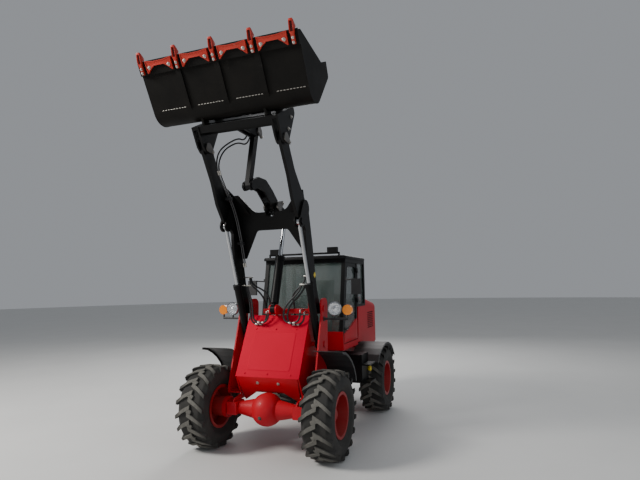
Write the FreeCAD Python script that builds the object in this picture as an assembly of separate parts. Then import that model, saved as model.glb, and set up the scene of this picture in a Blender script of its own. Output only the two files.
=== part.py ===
import FreeCAD, Part
import math
import os
from FreeCAD import Vector

# Compact articulated wheel loader with its bucket raised and rolled back.
# Millimetres. +X is forward, +Y is the machine's left, +Z is up. Every outline below is
# drawn in side view from the point on the ground under the front axle. The finished
# pieces are then moved so that the origin is on the ground at the middle of the machine.

# Running gear
WHEELBASE = 2490.0
TRACK = 1700.0
TYRE_D = 1075.0
TYRE_W = 405.0
LUG_H = 30.0
LUGS = 18
LUG_W = 62.0
RIM_D = 508.0
RIM_W = 330.0
RIM_LIP = 26.0
RIM_WALL = 10.0
HUB_D = 250.0
AXLE_TUBE_D = 150.0
DIFF_D = 420.0
BRAKE_D = 330.0
FIT = 0.3

# Frames
PLATE = 20.0
SKIN = 6.0
INNER_Y = 440.0
OUTER_Y = 612.0
PIVOT_X = -0.5 * WHEELBASE
PIVOT_PIN_D = 70.0
PIN_PLAY = 0.05
TAIL = 1160.0
RAIL_Y = 330.0

# Loader linkage at rest, side view
BOOM_PIVOT = (-480.0, 1810.0)
BUCKET_PIN = (622.0, 3899.0)
LIFT_FOOT = (-480.0, 1330.0)
LIFT_EYE = (132.0, 2943.0)
ROCKER_PIN = (-215.0, 3223.0)
LINK_FOOT = (474.0, 3385.0)
LINK_HEAD = (288.0, 4146.0)
TILT_EYE = (-624.0, 3127.0)
TILT_FOOT = (-210.0, 1815.0)
ARM_Y = 540.0
ARM_T = 40.0
PIN_D = 60.0
BARREL_D = 100.0
ROD_D = 50.0
TILT_BARREL_D = 120.0
TILT_ROD_D = 60.0
GLAND_L = 60.0
STEER_BARREL_D = 70.0
STEER_ROD_D = 36.0

# Bucket, from its hinge pin, u along the floor and v up from it
FLOOR_ANGLE = 61.0
BUCKET_W = 2090.0
BUCKET_SHEET = 14.0
BUCKET_SIDE = 18.0
FLOOR_V = -120.0
FLOOR_U = 1110.0
HEEL_R = 200.0
TOP_U = 690.0
TOP_V = 640.0
TEETH = 5
TOOTH_L = 250.0
TOOTH_W = 70.0
TIP_U = 1250.0

# Cab and hood
CAB_W = 1360.0
CAB_FLOOR = TYRE_D + 115.0
CAB_TOP = CAB_FLOOR + 1370.0
SILL_Z = CAB_FLOOR + 240.0
BELT_Z = CAB_FLOOR + 570.0
CAB_FRONT_LOW = PIVOT_X + 105.0
CAB_FRONT_TOP = CAB_FRONT_LOW - 197.0
CAB_REAR = -WHEELBASE + 60.0
DOOR_POST_X = CAB_REAR + 500.0
POST = 60.0
GLASS = 6.0
HOOD_W = 1120.0
HOOD_TOP_FRONT = CAB_FLOOR + 770.0
HOOD_TOP_REAR = CAB_FLOOR + 590.0
HOOD_LOW = CAB_FLOOR - 150.0
HOOD_GAP = 12.0
RAIL_TOP = CAB_FLOOR - 50.0
FENDER_Y = 1030.0


def rotated(point, centre, degrees):
    """Turns a side-view point about a centre, from +X towards +Z."""
    c, s = math.cos(math.radians(degrees)), math.sin(math.radians(degrees))
    dx, dz = point[0] - centre[0], point[1] - centre[1]
    return (centre[0] + c * dx - s * dz, centre[1] + s * dx + c * dz)


def bucket_point(u, v):
    """A point given along the bucket's floor and up from it, in side view."""
    return rotated((BUCKET_PIN[0] + u, BUCKET_PIN[1] + v), BUCKET_PIN, FLOOR_ANGLE)


# The machine's middle, between the teeth's tips and the tow hitch
TIP_V = FLOOR_V - 36.0
TIP_X = bucket_point(TIP_U, TIP_V)[0]
TAIL_X = -WHEELBASE - TAIL
FRONT_AXLE_X = -0.5 * (TIP_X + TAIL_X)
AXLE_Z = 0.5 * TYRE_D


def outline(points, lift):
    """Closed wire through (a, b) or (a, b, corner radius) points, each placed by lift."""
    edges = []
    count = len(points)
    ends = []
    for i in range(count):
        here = points[i]
        before, after = points[i - 1], points[(i + 1) % count]
        radius = here[2] if len(here) > 2 else 0.0
        if radius == 0.0:
            ends.append((here[:2], None, here[:2]))
            continue
        ax, ay = before[0] - here[0], before[1] - here[1]
        bx, by = after[0] - here[0], after[1] - here[1]
        la, lb = math.hypot(ax, ay), math.hypot(bx, by)
        ax, ay, bx, by = ax / la, ay / la, bx / lb, by / lb
        half = 0.5 * math.acos(max(-1.0, min(1.0, ax * bx + ay * by)))
        run = radius / math.tan(half)
        mx, my = ax + bx, ay + by
        lm = math.hypot(mx, my)
        reach = radius / math.sin(half) - radius
        ends.append((
            (here[0] + ax * run, here[1] + ay * run),
            (here[0] + mx / lm * reach, here[1] + my / lm * reach),
            (here[0] + bx * run, here[1] + by * run),
        ))
    for i in range(count):
        start, middle, end = ends[i]
        if middle:
            edges.append(Part.Arc(lift(*start), lift(*middle), lift(*end)).toShape())
        following = ends[(i + 1) % count][0]
        if math.hypot(following[0] - end[0], following[1] - end[1]) > 1e-6:
            edges.append(Part.LineSegment(lift(*end), lift(*following)).toShape())
    return Part.Wire(edges)


def side_plate(points, y0, y1, holes=()):
    """Side-view outline extruded from y0 to y1, with round holes (x, z, radius)."""
    face = Part.Face(outline(points, lambda x, z: Vector(x, y0, z)))
    solid = face.extrude(Vector(0, y1 - y0, 0))
    for x, z, r in holes:
        solid = solid.cut(across(x, z, y0 - 1, y1 + 1, r))
    return solid


def flat_plate(points, z0, z1):
    """Top-view outline extruded from z0 to z1."""
    face = Part.Face(outline(points, lambda x, y: Vector(x, y, z0)))
    return face.extrude(Vector(0, 0, z1 - z0))


def front_plate(points, x0, x1):
    """Front-view outline (y, z) extruded from x0 to x1."""
    face = Part.Face(outline(points, lambda y, z: Vector(x0, y, z)))
    return face.extrude(Vector(x1 - x0, 0, 0))


def block(x0, x1, y0, y1, z0, z1):
    return Part.makeBox(x1 - x0, y1 - y0, z1 - z0, Vector(x0, y0, z0))


def across(x, z, y0, y1, r):
    """Round bar along Y."""
    return Part.makeCylinder(r, y1 - y0, Vector(x, y0, z), Vector(0, 1, 0))


def upright(x, y, z0, z1, r):
    return Part.makeCylinder(r, z1 - z0, Vector(x, y, z0), Vector(0, 0, 1))


def bar(a, b, r):
    """Round bar between two points."""
    a, b = Vector(*a), Vector(*b)
    return Part.makeCylinder(r, (b - a).Length, a, b - a)


def mirrored(shape):
    return shape.mirror(Vector(0, 0, 0), Vector(0, 1, 0))


def joined(shapes):
    first = shapes[0]
    return first.fuse(shapes[1:]).removeSplitter() if len(shapes) > 1 else first


def sheet_profile(points, thickness):
    """Offsets an open side-view polyline by a thickness to its left, as a closed outline."""
    shifted = []
    for i, point in enumerate(points):
        before = points[max(i - 1, 0)]
        after = points[min(i + 1, len(points) - 1)]
        normals = []
        for a, b in ((before, point), (point, after)):
            dx, dz = b[0] - a[0], b[1] - a[1]
            length = math.hypot(dx, dz)
            if length > 0:
                normals.append((-dz / length, dx / length))
        nx = sum(n[0] for n in normals) / len(normals)
        nz = sum(n[1] for n in normals) / len(normals)
        scale = thickness / (nx * nx + nz * nz)
        shifted.append((point[0] + nx * scale, point[1] + nz * scale))
    return points + shifted[::-1]


def arc_points(centre, radius, start, end, steps):
    return [
        (
            centre[0] + radius * math.cos(math.radians(start + (end - start) * i / steps)),
            centre[1] + radius * math.sin(math.radians(start + (end - start) * i / steps)),
        )
        for i in range(steps + 1)
    ]


def strap(a, ra, b, rb, y0, y1):
    """Flat bar between two side-view circles, with the straight sides tangent to both."""
    dx, dz = b[0] - a[0], b[1] - a[1]
    length = math.hypot(dx, dz)
    heading = math.atan2(dz, dx)
    lean = math.acos((ra - rb) / length)
    corners = []
    for sign in (1, -1):
        t = heading + sign * lean
        corners.append([(c[0] + r * math.cos(t), c[1] + r * math.sin(t)) for c, r in ((a, ra), (b, rb))])
    core = side_plate([corners[0][0], corners[0][1], corners[1][1], corners[1][0]], y0, y1)
    return core.fuse([across(a[0], a[1], y0, y1, ra), across(b[0], b[1], y0, y1, rb)]).removeSplitter()


def along(a, b, distance):
    """Side-view point at a distance from a towards b."""
    length = math.hypot(b[0] - a[0], b[1] - a[1])
    return (a[0] + (b[0] - a[0]) / length * distance, a[1] + (b[1] - a[1]) / length * distance)


def at_y(point, y):
    return (point[0], y, point[1])


def chain(stations, y0, y1):
    """Plate that follows side-view circles (x, z, radius), hulled two by two."""
    pairs = zip(stations[:-1], stations[1:])
    return joined([strap(a[:2], a[2], b[:2], b[2], y0, y1) for a, b in pairs])


# Wheels: about the Y axis at the origin, outer face towards +Y

def revolved(points):
    """Outline of (y, radius) points turned about the Y axis."""
    face = Part.Face(outline(points, lambda y, r: Vector(0, y, r)))
    return face.revolve(Vector(0, 0, 0), Vector(0, 1, 0), 360)


def rim():
    half = 0.5 * RIM_W
    seat = 0.5 * RIM_D
    lip = seat + RIM_LIP
    disc = -20.0
    hub = 0.5 * HUB_D
    well = seat - RIM_WALL
    return revolved([
        (-246.0, 0.0), (-246.0, hub), (disc, hub), (disc, well - 26.0), (-half, well),
        (-half, lip), (-half + 12.0, lip), (-half + 12.0, seat), (half - 12.0, seat),
        (half - 12.0, lip), (half, lip), (half, well), (disc + 12.0, well - 26.0),
        (disc + 12.0, hub - 10.0), (70.0, hub - 30.0), (70.0, 60.0), (95.0, 50.0), (95.0, 0.0),
    ])


def lug(index, hand):
    """One slanted bar of the tread, from the shoulder past the middle."""
    base = 0.5 * TYRE_D - LUG_H
    step = 360.0 / LUGS
    phase = index * step + (0.0 if hand > 0 else 0.5 * step)
    inner_y, outer_y = -18.0, 0.5 * TYRE_W - 4.0
    sweep = 30.0
    stations = []
    for part in (0.0, 0.5, 1.0):
        y = inner_y + (outer_y - inner_y) * part
        angle = phase + sweep * part ** 1.3 * 0.5
        drop = 0.0 if part < 0.9 else 18.0
        half = 0.5 * LUG_W / (0.5 * TYRE_D)
        corners = []
        for r, wide in ((base - 26.0 - drop, 1.15), (0.5 * TYRE_D - drop, 0.8)):
            for sign in (-1, 1):
                a = math.radians(angle) + sign * half * wide
                corners.append(Vector(r * math.sin(a), hand * y, r * math.cos(a)))
        c = [corners[0], corners[1], corners[3], corners[2], corners[0]]
        stations.append(Part.makePolygon(c))
    return Part.makeLoft(stations, True, True)


def tyre():
    half = 0.5 * TYRE_W
    seat = 0.5 * RIM_D + FIT
    base = 0.5 * TYRE_D - LUG_H
    bead = 0.5 * RIM_W - 12.0 - FIT
    carcass = revolved([
        (-bead, seat), (-bead, seat + 40.0), (-half, seat + 110.0, 60.0), (-half + 12.0, base - 46.0, 40.0),
        (-half + 70.0, base, 40.0), (half - 70.0, base, 40.0), (half - 12.0, base - 46.0, 40.0),
        (half, seat + 110.0, 60.0), (bead, seat + 40.0), (bead, seat),
    ])
    lugs = [lug(i, hand) for i in range(LUGS) for hand in (1, -1)]
    return carcass.fuse(lugs)


def wheel_at(shape, x, side):
    turned = shape if side > 0 else mirrored(shape)
    return turned.translated(Vector(x, side * 0.5 * TRACK, AXLE_Z))


# Axles

def axle(x, pad_y, seat):
    """Beam axle with its round differential case, brake flanges and frame pads."""
    ball = Part.makeSphere(0.5 * DIFF_D, Vector(x, 0, AXLE_Z))
    end = 0.5 * TRACK - 246.0 - FIT
    beam = across(x, AXLE_Z, -end, end, 0.5 * AXLE_TUBE_D)
    parts = [ball, beam]
    for side in (1, -1):
        root = Vector(x, side * 150.0, AXLE_Z)
        cone = Part.makeCone(130.0, 0.5 * AXLE_TUBE_D + 5.0, 250.0, root, Vector(0, side, 0))
        parts.append(cone)
        low, high = sorted((side * (end - 50.0), side * end))
        parts.append(across(x, AXLE_Z, low, high, 0.5 * BRAKE_D - 30.0))
        low, high = sorted((side * pad_y, side * (pad_y + PAD_W)))
        parts.append(block(x - 110.0, x + 110.0, low, high, AXLE_Z - 75.0, seat))
    return joined(parts)


PAD_W = 140.0
AXLE_SEAT = AXLE_Z + 85.0
REAR_SEAT = AXLE_Z + 105.0


# Front frame

PANEL_TOP = (-381.0, 1721.0)
PANEL_LOW = (27.0, 943.0)
APRON_LOW = (-155.0, 606.0)
OUTER_LOW = AXLE_Z + 0.5 * HUB_D + 35.0


def tower(side):
    """Inner and outer side plates that carry the boom and the lift cylinder's foot."""
    top = BOOM_PIVOT[1] + 140.0
    outer = side_plate([
        (-620.0, top, 90.0), (-370.0, top, 70.0), (-385.0, 1740.0), (-75.0, 780.0, 60.0), (-75.0, OUTER_LOW),
        (-560.0, OUTER_LOW), (-590.0, 1000.0),
    ], OUTER_Y, OUTER_Y + PLATE)
    inner = side_plate([
        (-620.0, top, 90.0), (-370.0, top, 70.0), PANEL_TOP_IN, PANEL_LOW_IN, on_apron(AXLE_SEAT + TOE_H),
        (60.0, AXLE_SEAT + 40.0, 20.0), (100.0, AXLE_SEAT), (-560.0, AXLE_SEAT), (-590.0, 1000.0),
    ], INNER_Y, INNER_Y + PLATE)
    rear = block(-560.0, -540.0, INNER_Y + PLATE, OUTER_Y, OUTER_LOW, 1150.0)
    floor = block(-540.0, -90.0, INNER_Y + PLATE, OUTER_Y, OUTER_LOW, OUTER_LOW + PLATE)
    pins = []
    for x, z in (BOOM_PIVOT, LIFT_FOOT):
        pins.append(across(x, z, INNER_Y - 12.0, OUTER_Y + PLATE + 12.0, 0.5 * PIN_D))
        pins.append(across(x, z, OUTER_Y + PLATE, OUTER_Y + PLATE + 12.0, PIN_D - 14.0))
    shape = joined([outer, inner, rear, floor] + pins)
    return shape if side > 0 else mirrored(shape)


def shifted_line(a, b, distance):
    """The line a-b moved sideways, behind the panel."""
    dx, dz = b[0] - a[0], b[1] - a[1]
    length = math.hypot(dx, dz)
    return (a[0] + dz / length * distance, a[1] - dx / length * distance), (
        b[0] + dz / length * distance, b[1] - dx / length * distance)


PANEL_TOP_IN, PANEL_LOW_IN = shifted_line(PANEL_TOP, PANEL_LOW, 12.0)
APRON_LOW_IN = (APRON_LOW[0] - 14.0, APRON_LOW[1])
TOE_H = 68.0


def on_apron(height):
    """Side-view point of the apron's front face at a height."""
    return along(APRON_LOW, PANEL_LOW, (height - APRON_LOW[1]) / (PANEL_LOW[1] - APRON_LOW[1]) * math.hypot(
        PANEL_LOW[0] - APRON_LOW[0], PANEL_LOW[1] - APRON_LOW[1]))


def front_panel():
    """Sloped front cover with a raised field, and the cut-out apron below it."""
    half = INNER_Y + PLATE
    cover = side_plate([PANEL_TOP, PANEL_LOW, PANEL_LOW_IN, PANEL_TOP_IN], -half, half)
    apron = side_plate([PANEL_LOW, APRON_LOW, APRON_LOW_IN, PANEL_LOW_IN], -INNER_Y, INNER_Y)
    notch = front_plate([(-250.0, 500.0), (-178.0, 765.0), (178.0, 765.0), (250.0, 500.0)], -400.0, 200.0)
    apron = apron.cut(notch)
    return joined([cover, apron])


def front_frame():
    """Cross plates between the towers and the rear hinge box."""
    web = block(-560.0, -540.0, -INNER_Y, INNER_Y, AXLE_SEAT, 1500.0)
    deck = block(-540.0, -400.0, -INNER_Y, INNER_Y, 1480.0, 1500.0)
    parts = [web, deck]
    for z in HINGE_Z:
        ear = flat_plate([
            (-560.0, 330.0), (-560.0, -330.0), (PIVOT_X - 90.0, -110.0, 100.0), (PIVOT_X - 90.0, 110.0, 100.0),
        ], z, z + EAR_H)
        parts.append(ear)
    frame = joined(parts + tilt_lugs())
    return frame.cut(upright(PIVOT_X, 0, 700.0, 1150.0, 0.5 * PIVOT_PIN_D + PIN_PLAY))


def round_tyre(axle_x, places):
    """Side-view points at (angle, distance outside the tyre)."""
    points = []
    for angle, gap in places:
        r, a = 0.5 * TYRE_D + gap, math.radians(angle)
        points.append((axle_x + r * math.cos(a), AXLE_Z + r * math.sin(a)))
    return points


FRONT_GUARD = ((94.0, 222.0), (104.0, 218.0), (115.0, 205.0), (126.0, 198.0), (137.0, 192.0), (147.0, 178.0), (154.0, 155.0))
REAR_GUARD = (
    (28.0, 215.0), (40.0, 175.0), (54.0, 120.0), (68.0, 82.0), (84.0, 64.0), (100.0, 62.0), (116.0, 75.0),
    (130.0, 95.0), (142.0, 115.0), (152.0, 130.0),
)


def front_fender(side):
    """Curved guard behind and over the front tyre, with a turned-down outer edge."""
    run = round_tyre(0.0, FRONT_GUARD)
    shape = side_plate(sheet_profile(run, SKIN), OUTER_Y + PLATE, FENDER_Y)
    lip = side_plate(sheet_profile(run, 30.0), FENDER_Y - SKIN, FENDER_Y)
    shape = joined([shape, lip])
    return shape if side > 0 else mirrored(shape)


LAMP_Y = 790.0
LAMP_Z = 1808.0
LAMP_R = 98.0
SIGNAL_Y = 960.0
SIGNAL_Z = 1790.0
SIGNAL_R = 68.0


def lamp_arm(side):
    """Bracket from the tower's outer plate out to the headlight and the turn signal."""
    arm = bar((-470.0, OUTER_Y + PLATE + 4.0, 1670.0), (-512.0, SIGNAL_Y + 6.0, 1670.0), 16.0)
    stems = [
        upright(-480.0, LAMP_Y, 1670.0, LAMP_Z - LAMP_R - FIT, 11.0),
        upright(-510.0, SIGNAL_Y, 1670.0, SIGNAL_Z - SIGNAL_R - FIT, 11.0),
    ]
    foot = block(-500.0, -440.0, OUTER_Y + PLATE, OUTER_Y + PLATE + 8.0, 1640.0, 1700.0)
    shape = joined([arm, foot] + stems)
    return shape if side > 0 else mirrored(shape)


def headlight(side):
    shell = Part.makeCone(50.0, LAMP_R - 3.0, 70.0, Vector(-560.0, side * LAMP_Y, LAMP_Z), Vector(1, 0, 0))
    ring = Part.makeCylinder(LAMP_R, 26.0, Vector(-490.0, side * LAMP_Y, LAMP_Z), Vector(1, 0, 0))
    return joined([shell, ring])


def headlight_lens(side):
    return Part.makeCylinder(LAMP_R - 14.0, 8.0, Vector(-464.0 + FIT, side * LAMP_Y, LAMP_Z), Vector(1, 0, 0))


def signal(side):
    return Part.makeCylinder(SIGNAL_R, 50.0, Vector(-535.0, side * SIGNAL_Y, SIGNAL_Z), Vector(1, 0, 0))


# Boom

# Way of the lift rod's eye beside its seat in the arm as the boom comes down
EYE_WAY = (
    (0.0, 0.0), (23.0, -45.0), (46.0, -69.0), (62.0, -74.0), (68.0, -62.0), (58.0, -39.0), (32.0, -8.0),
    (-15.0, 25.0), (-80.0, 54.0),
)
ROD_EYE_R = 46.0
EAR_T = 18.0
EAR_ROOT_R = 108.0
EAR_Y = 0.5 * ROD_D + 2.0


def from_lift_eye(dx, dz):
    return (LIFT_EYE[0] + dx, LIFT_EYE[1] + dz)


def boom_arm(side):
    """One arm: a single thick plate, widest at the knee, with ears for the lift rod."""
    points = [
        (BOOM_PIVOT[0] - 95.0, BOOM_PIVOT[1] - 60.0, 60.0), (-412.0, 2062.0), (-262.0, 2734.0, 300.0),
        (-160.0, 3120.0, 200.0), (290.0, 3580.0, 400.0), (440.0, 3830.0), (BUCKET_PIN[0] - 100.0, 4010.0, 70.0),
        (BUCKET_PIN[0] + 85.0, 3990.0, 85.0), (BUCKET_PIN[0] + 60.0, 3830.0, 60.0), (470.0, 3480.0, 300.0),
        (350.0, 3200.0, 200.0), (100.0, 2870.0, 60.0), (-42.0, 2800.0, 60.0), (-80.0, 2480.0, 200.0),
        (-275.0, 2062.0, 100.0), (BOOM_PIVOT[0] + 85.0, BOOM_PIVOT[1] - 60.0, 70.0),
    ]
    low = ARM_Y - 0.5 * ARM_T
    plate = side_plate(points, low, low + ARM_T)
    way = [from_lift_eye(dx, dz) + (ROD_EYE_R + 12.0,) for dx, dz in EYE_WAY]
    slot = side_plate([from_lift_eye(dx, dz) for dx, dz in (
        (-138.0, 54.0), (-138.0, -50.0), (-176.0, -90.0), (-176.0, -480.0), (80.0, -480.0), (60.0, 20.0),
    )], low - 1, low + ARM_T + 1)
    plate = plate.cut(chain(way, low - 1, low + ARM_T + 1)).cut(slot)
    parts = [plate]
    weld = from_lift_eye(-140.0, 190.0)
    for sign in (1, -1):
        ends = sorted((ARM_Y + sign * 0.5 * ARM_T, ARM_Y + sign * EAR_Y))
        parts.append(across(weld[0], weld[1], ends[0], ends[1], 95.0))
        ends = sorted((ARM_Y + sign * EAR_Y, ARM_Y + sign * (EAR_Y + EAR_T)))
        parts.append(strap(LIFT_EYE, 75.0, weld, EAR_ROOT_R, ends[0], ends[1]))
        ends = sorted((ARM_Y + sign * (EAR_Y + EAR_T), ARM_Y + sign * (EAR_Y + EAR_T + 12.0)))
        parts.append(across(LIFT_EYE[0], LIFT_EYE[1], ends[0], ends[1], ROD_EYE_R))
    for point, r in ((BOOM_PIVOT, 72.0), (BUCKET_PIN, 62.0)):
        half = 0.5 * ARM_T + (36.0 if point is BOOM_PIVOT else 4.0)
        parts.append(across(point[0], point[1], ARM_Y - half, ARM_Y + half, r))
    shape = joined(parts)
    for point in (BOOM_PIVOT, BUCKET_PIN):
        shape = shape.cut(across(point[0], point[1], ARM_Y - 80.0, ARM_Y + 80.0, 0.5 * PIN_D + PIN_PLAY))
    return shape if side > 0 else mirrored(shape)


# Cylinders

def barrel(foot, eye, y, radius, wall, rod_r, mouth, pin_r):
    """Cylinder barrel from its foot eye to the gland that the rod leaves by."""
    tube = bar(at_y(along(foot, eye, radius + 20.0), y), at_y(along(foot, eye, mouth), y), radius)
    collar = bar(at_y(along(foot, eye, mouth - GLAND_L), y), at_y(along(foot, eye, mouth), y), radius + 8.0)
    foot_eye = across(foot[0], foot[1], y - 0.5 * EYE_W, y + 0.5 * EYE_W, pin_r + 26.0)
    neck = bar(at_y(along(foot, eye, pin_r + 8.0), y), at_y(along(foot, eye, radius + 30.0), y), 0.5 * EYE_W - 2.0)
    shape = joined([tube, collar, foot_eye, neck])
    bore = bar(at_y(along(foot, eye, radius + 40.0), y), at_y(along(foot, eye, mouth - GLAND_L), y), radius - wall)
    gland = bar(at_y(along(foot, eye, radius + 40.0), y), at_y(along(foot, eye, mouth + 1.0), y), rod_r + PIN_PLAY)
    hole = across(foot[0], foot[1], y - radius, y + radius, pin_r + PIN_PLAY)
    return shape.cut(bore).cut(gland).cut(hole)


def rod(foot, eye, y, radius, depth, eye_r, eye_w, piston_r):
    """Rod with its eye, running back into the barrel to the piston."""
    length = math.hypot(eye[0] - foot[0], eye[1] - foot[1])
    start = along(foot, eye, length - depth)
    shaft = bar(at_y(start, y), at_y(along(foot, eye, length - 0.6 * eye_r), y), radius)
    piston = bar(at_y(start, y), at_y(along(foot, eye, length - depth + 50.0), y), piston_r)
    ring = across(eye[0], eye[1], y - 0.5 * eye_w, y + 0.5 * eye_w, eye_r)
    hole = across(eye[0], eye[1], y - eye_w, y + eye_w, eye_r - 20.0)
    return joined([shaft, piston, ring]).cut(hole)


EYE_W = 60.0
LIFT_MOUTH = 880.0
TILT_MOUTH = 760.0


def lift_barrel(side):
    r = 0.5 * BARREL_D
    shape = barrel(LIFT_FOOT, LIFT_EYE, ARM_Y, r, 8.0, 0.5 * ROD_D, LIFT_MOUTH, 0.5 * PIN_D)
    return shape if side > 0 else mirrored(shape)


def lift_rod(side):
    length = math.hypot(LIFT_EYE[0] - LIFT_FOOT[0], LIFT_EYE[1] - LIFT_FOOT[1])
    depth = length - LIFT_MOUTH + GLAND_L + 52.0
    shape = rod(LIFT_FOOT, LIFT_EYE, ARM_Y, 0.5 * ROD_D, depth, ROD_EYE_R, ROD_D - 2.0, 0.5 * BARREL_D - 9.0)
    return shape if side > 0 else mirrored(shape)


def tilt_barrel():
    r = 0.5 * TILT_BARREL_D
    return barrel(TILT_FOOT, TILT_EYE, 0.0, r, 9.0, 0.5 * TILT_ROD_D, TILT_MOUTH, 0.5 * PIN_D)


def tilt_rod():
    length = math.hypot(TILT_EYE[0] - TILT_FOOT[0], TILT_EYE[1] - TILT_FOOT[1])
    depth = length - TILT_MOUTH + GLAND_L + 190.0
    r = 0.5 * TILT_BARREL_D - 10.0
    return rod(TILT_FOOT, TILT_EYE, 0.0, 0.5 * TILT_ROD_D, depth, 52.0, EYE_W, r)


def tilt_lugs():
    """Two lugs behind the front cover's top edge, with the tilt cylinder's foot pin."""
    plates = []
    for y in (0.5 * EYE_W + 4.0, -0.5 * EYE_W - 4.0 - 22.0):
        plates.append(side_plate([
            (-440.0, 1500.0), (-440.0, 1790.0, 40.0), (TILT_FOOT[0] - 20.0, TILT_FOOT[1] + 62.0, 50.0),
            (TILT_FOOT[0] + 62.0, TILT_FOOT[1] + 30.0, 50.0), (TILT_FOOT[0] + 30.0, TILT_FOOT[1] - 70.0, 40.0),
            (PANEL_TOP[0] + 14.0, PANEL_TOP[1] + 8.0), (PANEL_TOP[0] - 10.0, PANEL_TOP[1] + 2.0),
            (PANEL_TOP[0] - 18.0, PANEL_TOP[1] - 30.0), (-400.0, 1500.0),
        ], y, y + 22.0))
    pin = across(TILT_FOOT[0], TILT_FOOT[1], -0.5 * EYE_W - 30.0, 0.5 * EYE_W + 30.0, 0.5 * PIN_D)
    return plates + [pin]


# Boom cross plate, rocker and link

CHEEK_Y = 34.0
CHEEK_T = 24.0

CROSS_LOW = (-275.0, 2600.0)
CROSS_TOP = (-70.0, 3320.0)
CROSS_T = 25.0


def on_cross(height):
    """Side-view point of the cross plate's front face at a height."""
    part = (height - CROSS_LOW[1]) / (CROSS_TOP[1] - CROSS_LOW[1])
    return CROSS_LOW[0] + part * (CROSS_TOP[0] - CROSS_LOW[0])


def boom_cross():
    """Plate between the arms with flared corners, and the two lugs for the rocker's pin."""
    half = ARM_Y - 0.5 * ARM_T
    top, low = 3390.0, 2520.0
    slab = side_plate([
        (on_cross(low), low), (on_cross(top), top), (on_cross(top) - CROSS_T, top), (on_cross(low) - CROSS_T, low),
    ], -half, half)
    upper = front_plate([
        (-half + 20.0, top + 60.0), (-230.0, 3140.0, 160.0), (230.0, 3140.0, 160.0), (half - 20.0, top + 60.0),
    ], -700.0, 300.0)
    lower = front_plate([
        (-half + 20.0, low - 60.0), (-235.0, 2900.0, 60.0), (235.0, 2900.0, 60.0), (half - 20.0, low - 60.0),
    ], -700.0, 300.0)
    gap = block(-700.0, 300.0, -CHEEK_Y - CHEEK_T - 4.0, CHEEK_Y + CHEEK_T + 4.0, 3080.0, top)
    plate = slab.cut(upper).cut(lower).cut(gap)
    lugs = []
    for y in (CHEEK_Y + CHEEK_T + 4.0, -CHEEK_Y - CHEEK_T - 32.0):
        lugs.append(side_plate([
            (on_cross(2940.0) - CROSS_T, 2940.0), (on_cross(3138.0) - CROSS_T, 3138.0),
            (ROCKER_PIN[0] + 70.0, ROCKER_PIN[1] + 50.0, 60.0), (ROCKER_PIN[0] - 75.0, ROCKER_PIN[1] + 55.0, 65.0),
            (ROCKER_PIN[0] - 80.0, ROCKER_PIN[1] - 90.0, 60.0),
        ], y, y + 28.0, [(ROCKER_PIN[0], ROCKER_PIN[1], 0.5 * PIN_D + PIN_PLAY)]))
    return joined([plate] + lugs)


def keeper(point, heading, reach, head_r, y0, y1):
    """Head of a pin with the flag that is bolted down to keep the pin in."""
    a = math.radians(heading)
    tip = (point[0] + reach * math.cos(a), point[1] + reach * math.sin(a))
    return strap(point, head_r, tip, 0.45 * head_r, y0, y1)


def rocker_pin():
    end = CHEEK_Y + CHEEK_T + 33.0
    parts = [across(ROCKER_PIN[0], ROCKER_PIN[1], -end - 20.0, end + 20.0, 0.5 * PIN_D)]
    for low in (end, -end - 20.0):
        parts.append(keeper(ROCKER_PIN, 150.0, 115.0, 68.0, low, low + 20.0))
    return joined(parts)


def rocker():
    """Curved rocker of two cheeks with a hub on its pin and a web between them."""
    stations = [
        TILT_EYE + (58.0,), (-430.0, 3170.0, 66.0), ROCKER_PIN + (96.0,), (-60.0, 3345.0, 92.0),
        (110.0, 3450.0, 84.0), (300.0, 3462.0, 70.0), LINK_FOOT + (58.0,),
    ]
    parts = [chain(stations, y, y + CHEEK_T) for y in (CHEEK_Y, -CHEEK_Y - CHEEK_T)]
    parts.append(across(ROCKER_PIN[0], ROCKER_PIN[1], -CHEEK_Y, CHEEK_Y, 60.0))
    parts.append(side_plate([(-60.0, 3330.0), (120.0, 3440.0), (110.0, 3465.0), (-70.0, 3355.0)], -CHEEK_Y, CHEEK_Y))
    for point in (TILT_EYE, LINK_FOOT):
        for y in (CHEEK_Y + CHEEK_T, -CHEEK_Y - CHEEK_T - 12.0):
            parts.append(across(point[0], point[1], y, y + 12.0, 40.0))
    shape = joined(parts)
    return shape.cut(across(ROCKER_PIN[0], ROCKER_PIN[1], -80.0, 80.0, 0.5 * PIN_D + PIN_PLAY))


def link_pin():
    parts = [across(LINK_HEAD[0], LINK_HEAD[1], -75.0, 75.0, 0.5 * PIN_D)]
    for low in (59.0, -75.0):
        parts.append(keeper(LINK_HEAD, 235.0, 85.0, 54.0, low, low + 16.0))
    return joined(parts)


def link():
    shape = strap(LINK_FOOT, 46.0, LINK_HEAD, 50.0, -30.0, 30.0)
    return shape.cut(across(LINK_HEAD[0], LINK_HEAD[1], -40.0, 40.0, 0.5 * PIN_D + PIN_PLAY)).cut(
        across(LINK_FOOT[0], LINK_FOOT[1], -40.0, 40.0, 0.5 * PIN_D))


# Hitch and bucket, drawn along the bucket's floor

def bucket_plate(points, y0, y1):
    placed = [bucket_point(p[0], p[1]) + tuple(p[2:]) for p in points]
    return side_plate(placed, y0, y1)


def hinge_pins():
    pins = []
    for side in (1, -1):
        parts = [across(BUCKET_PIN[0], BUCKET_PIN[1], side * ARM_Y - 67.0, side * ARM_Y + 67.0, 0.5 * PIN_D)]
        for low in (51.0, -67.0):
            parts.append(keeper(BUCKET_PIN, 205.0, 95.0, 60.0, side * ARM_Y + low, side * ARM_Y + low + 16.0))
        pins.append(joined(parts))
    return Part.makeCompound(pins)


HITCH_U = 290.0


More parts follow.
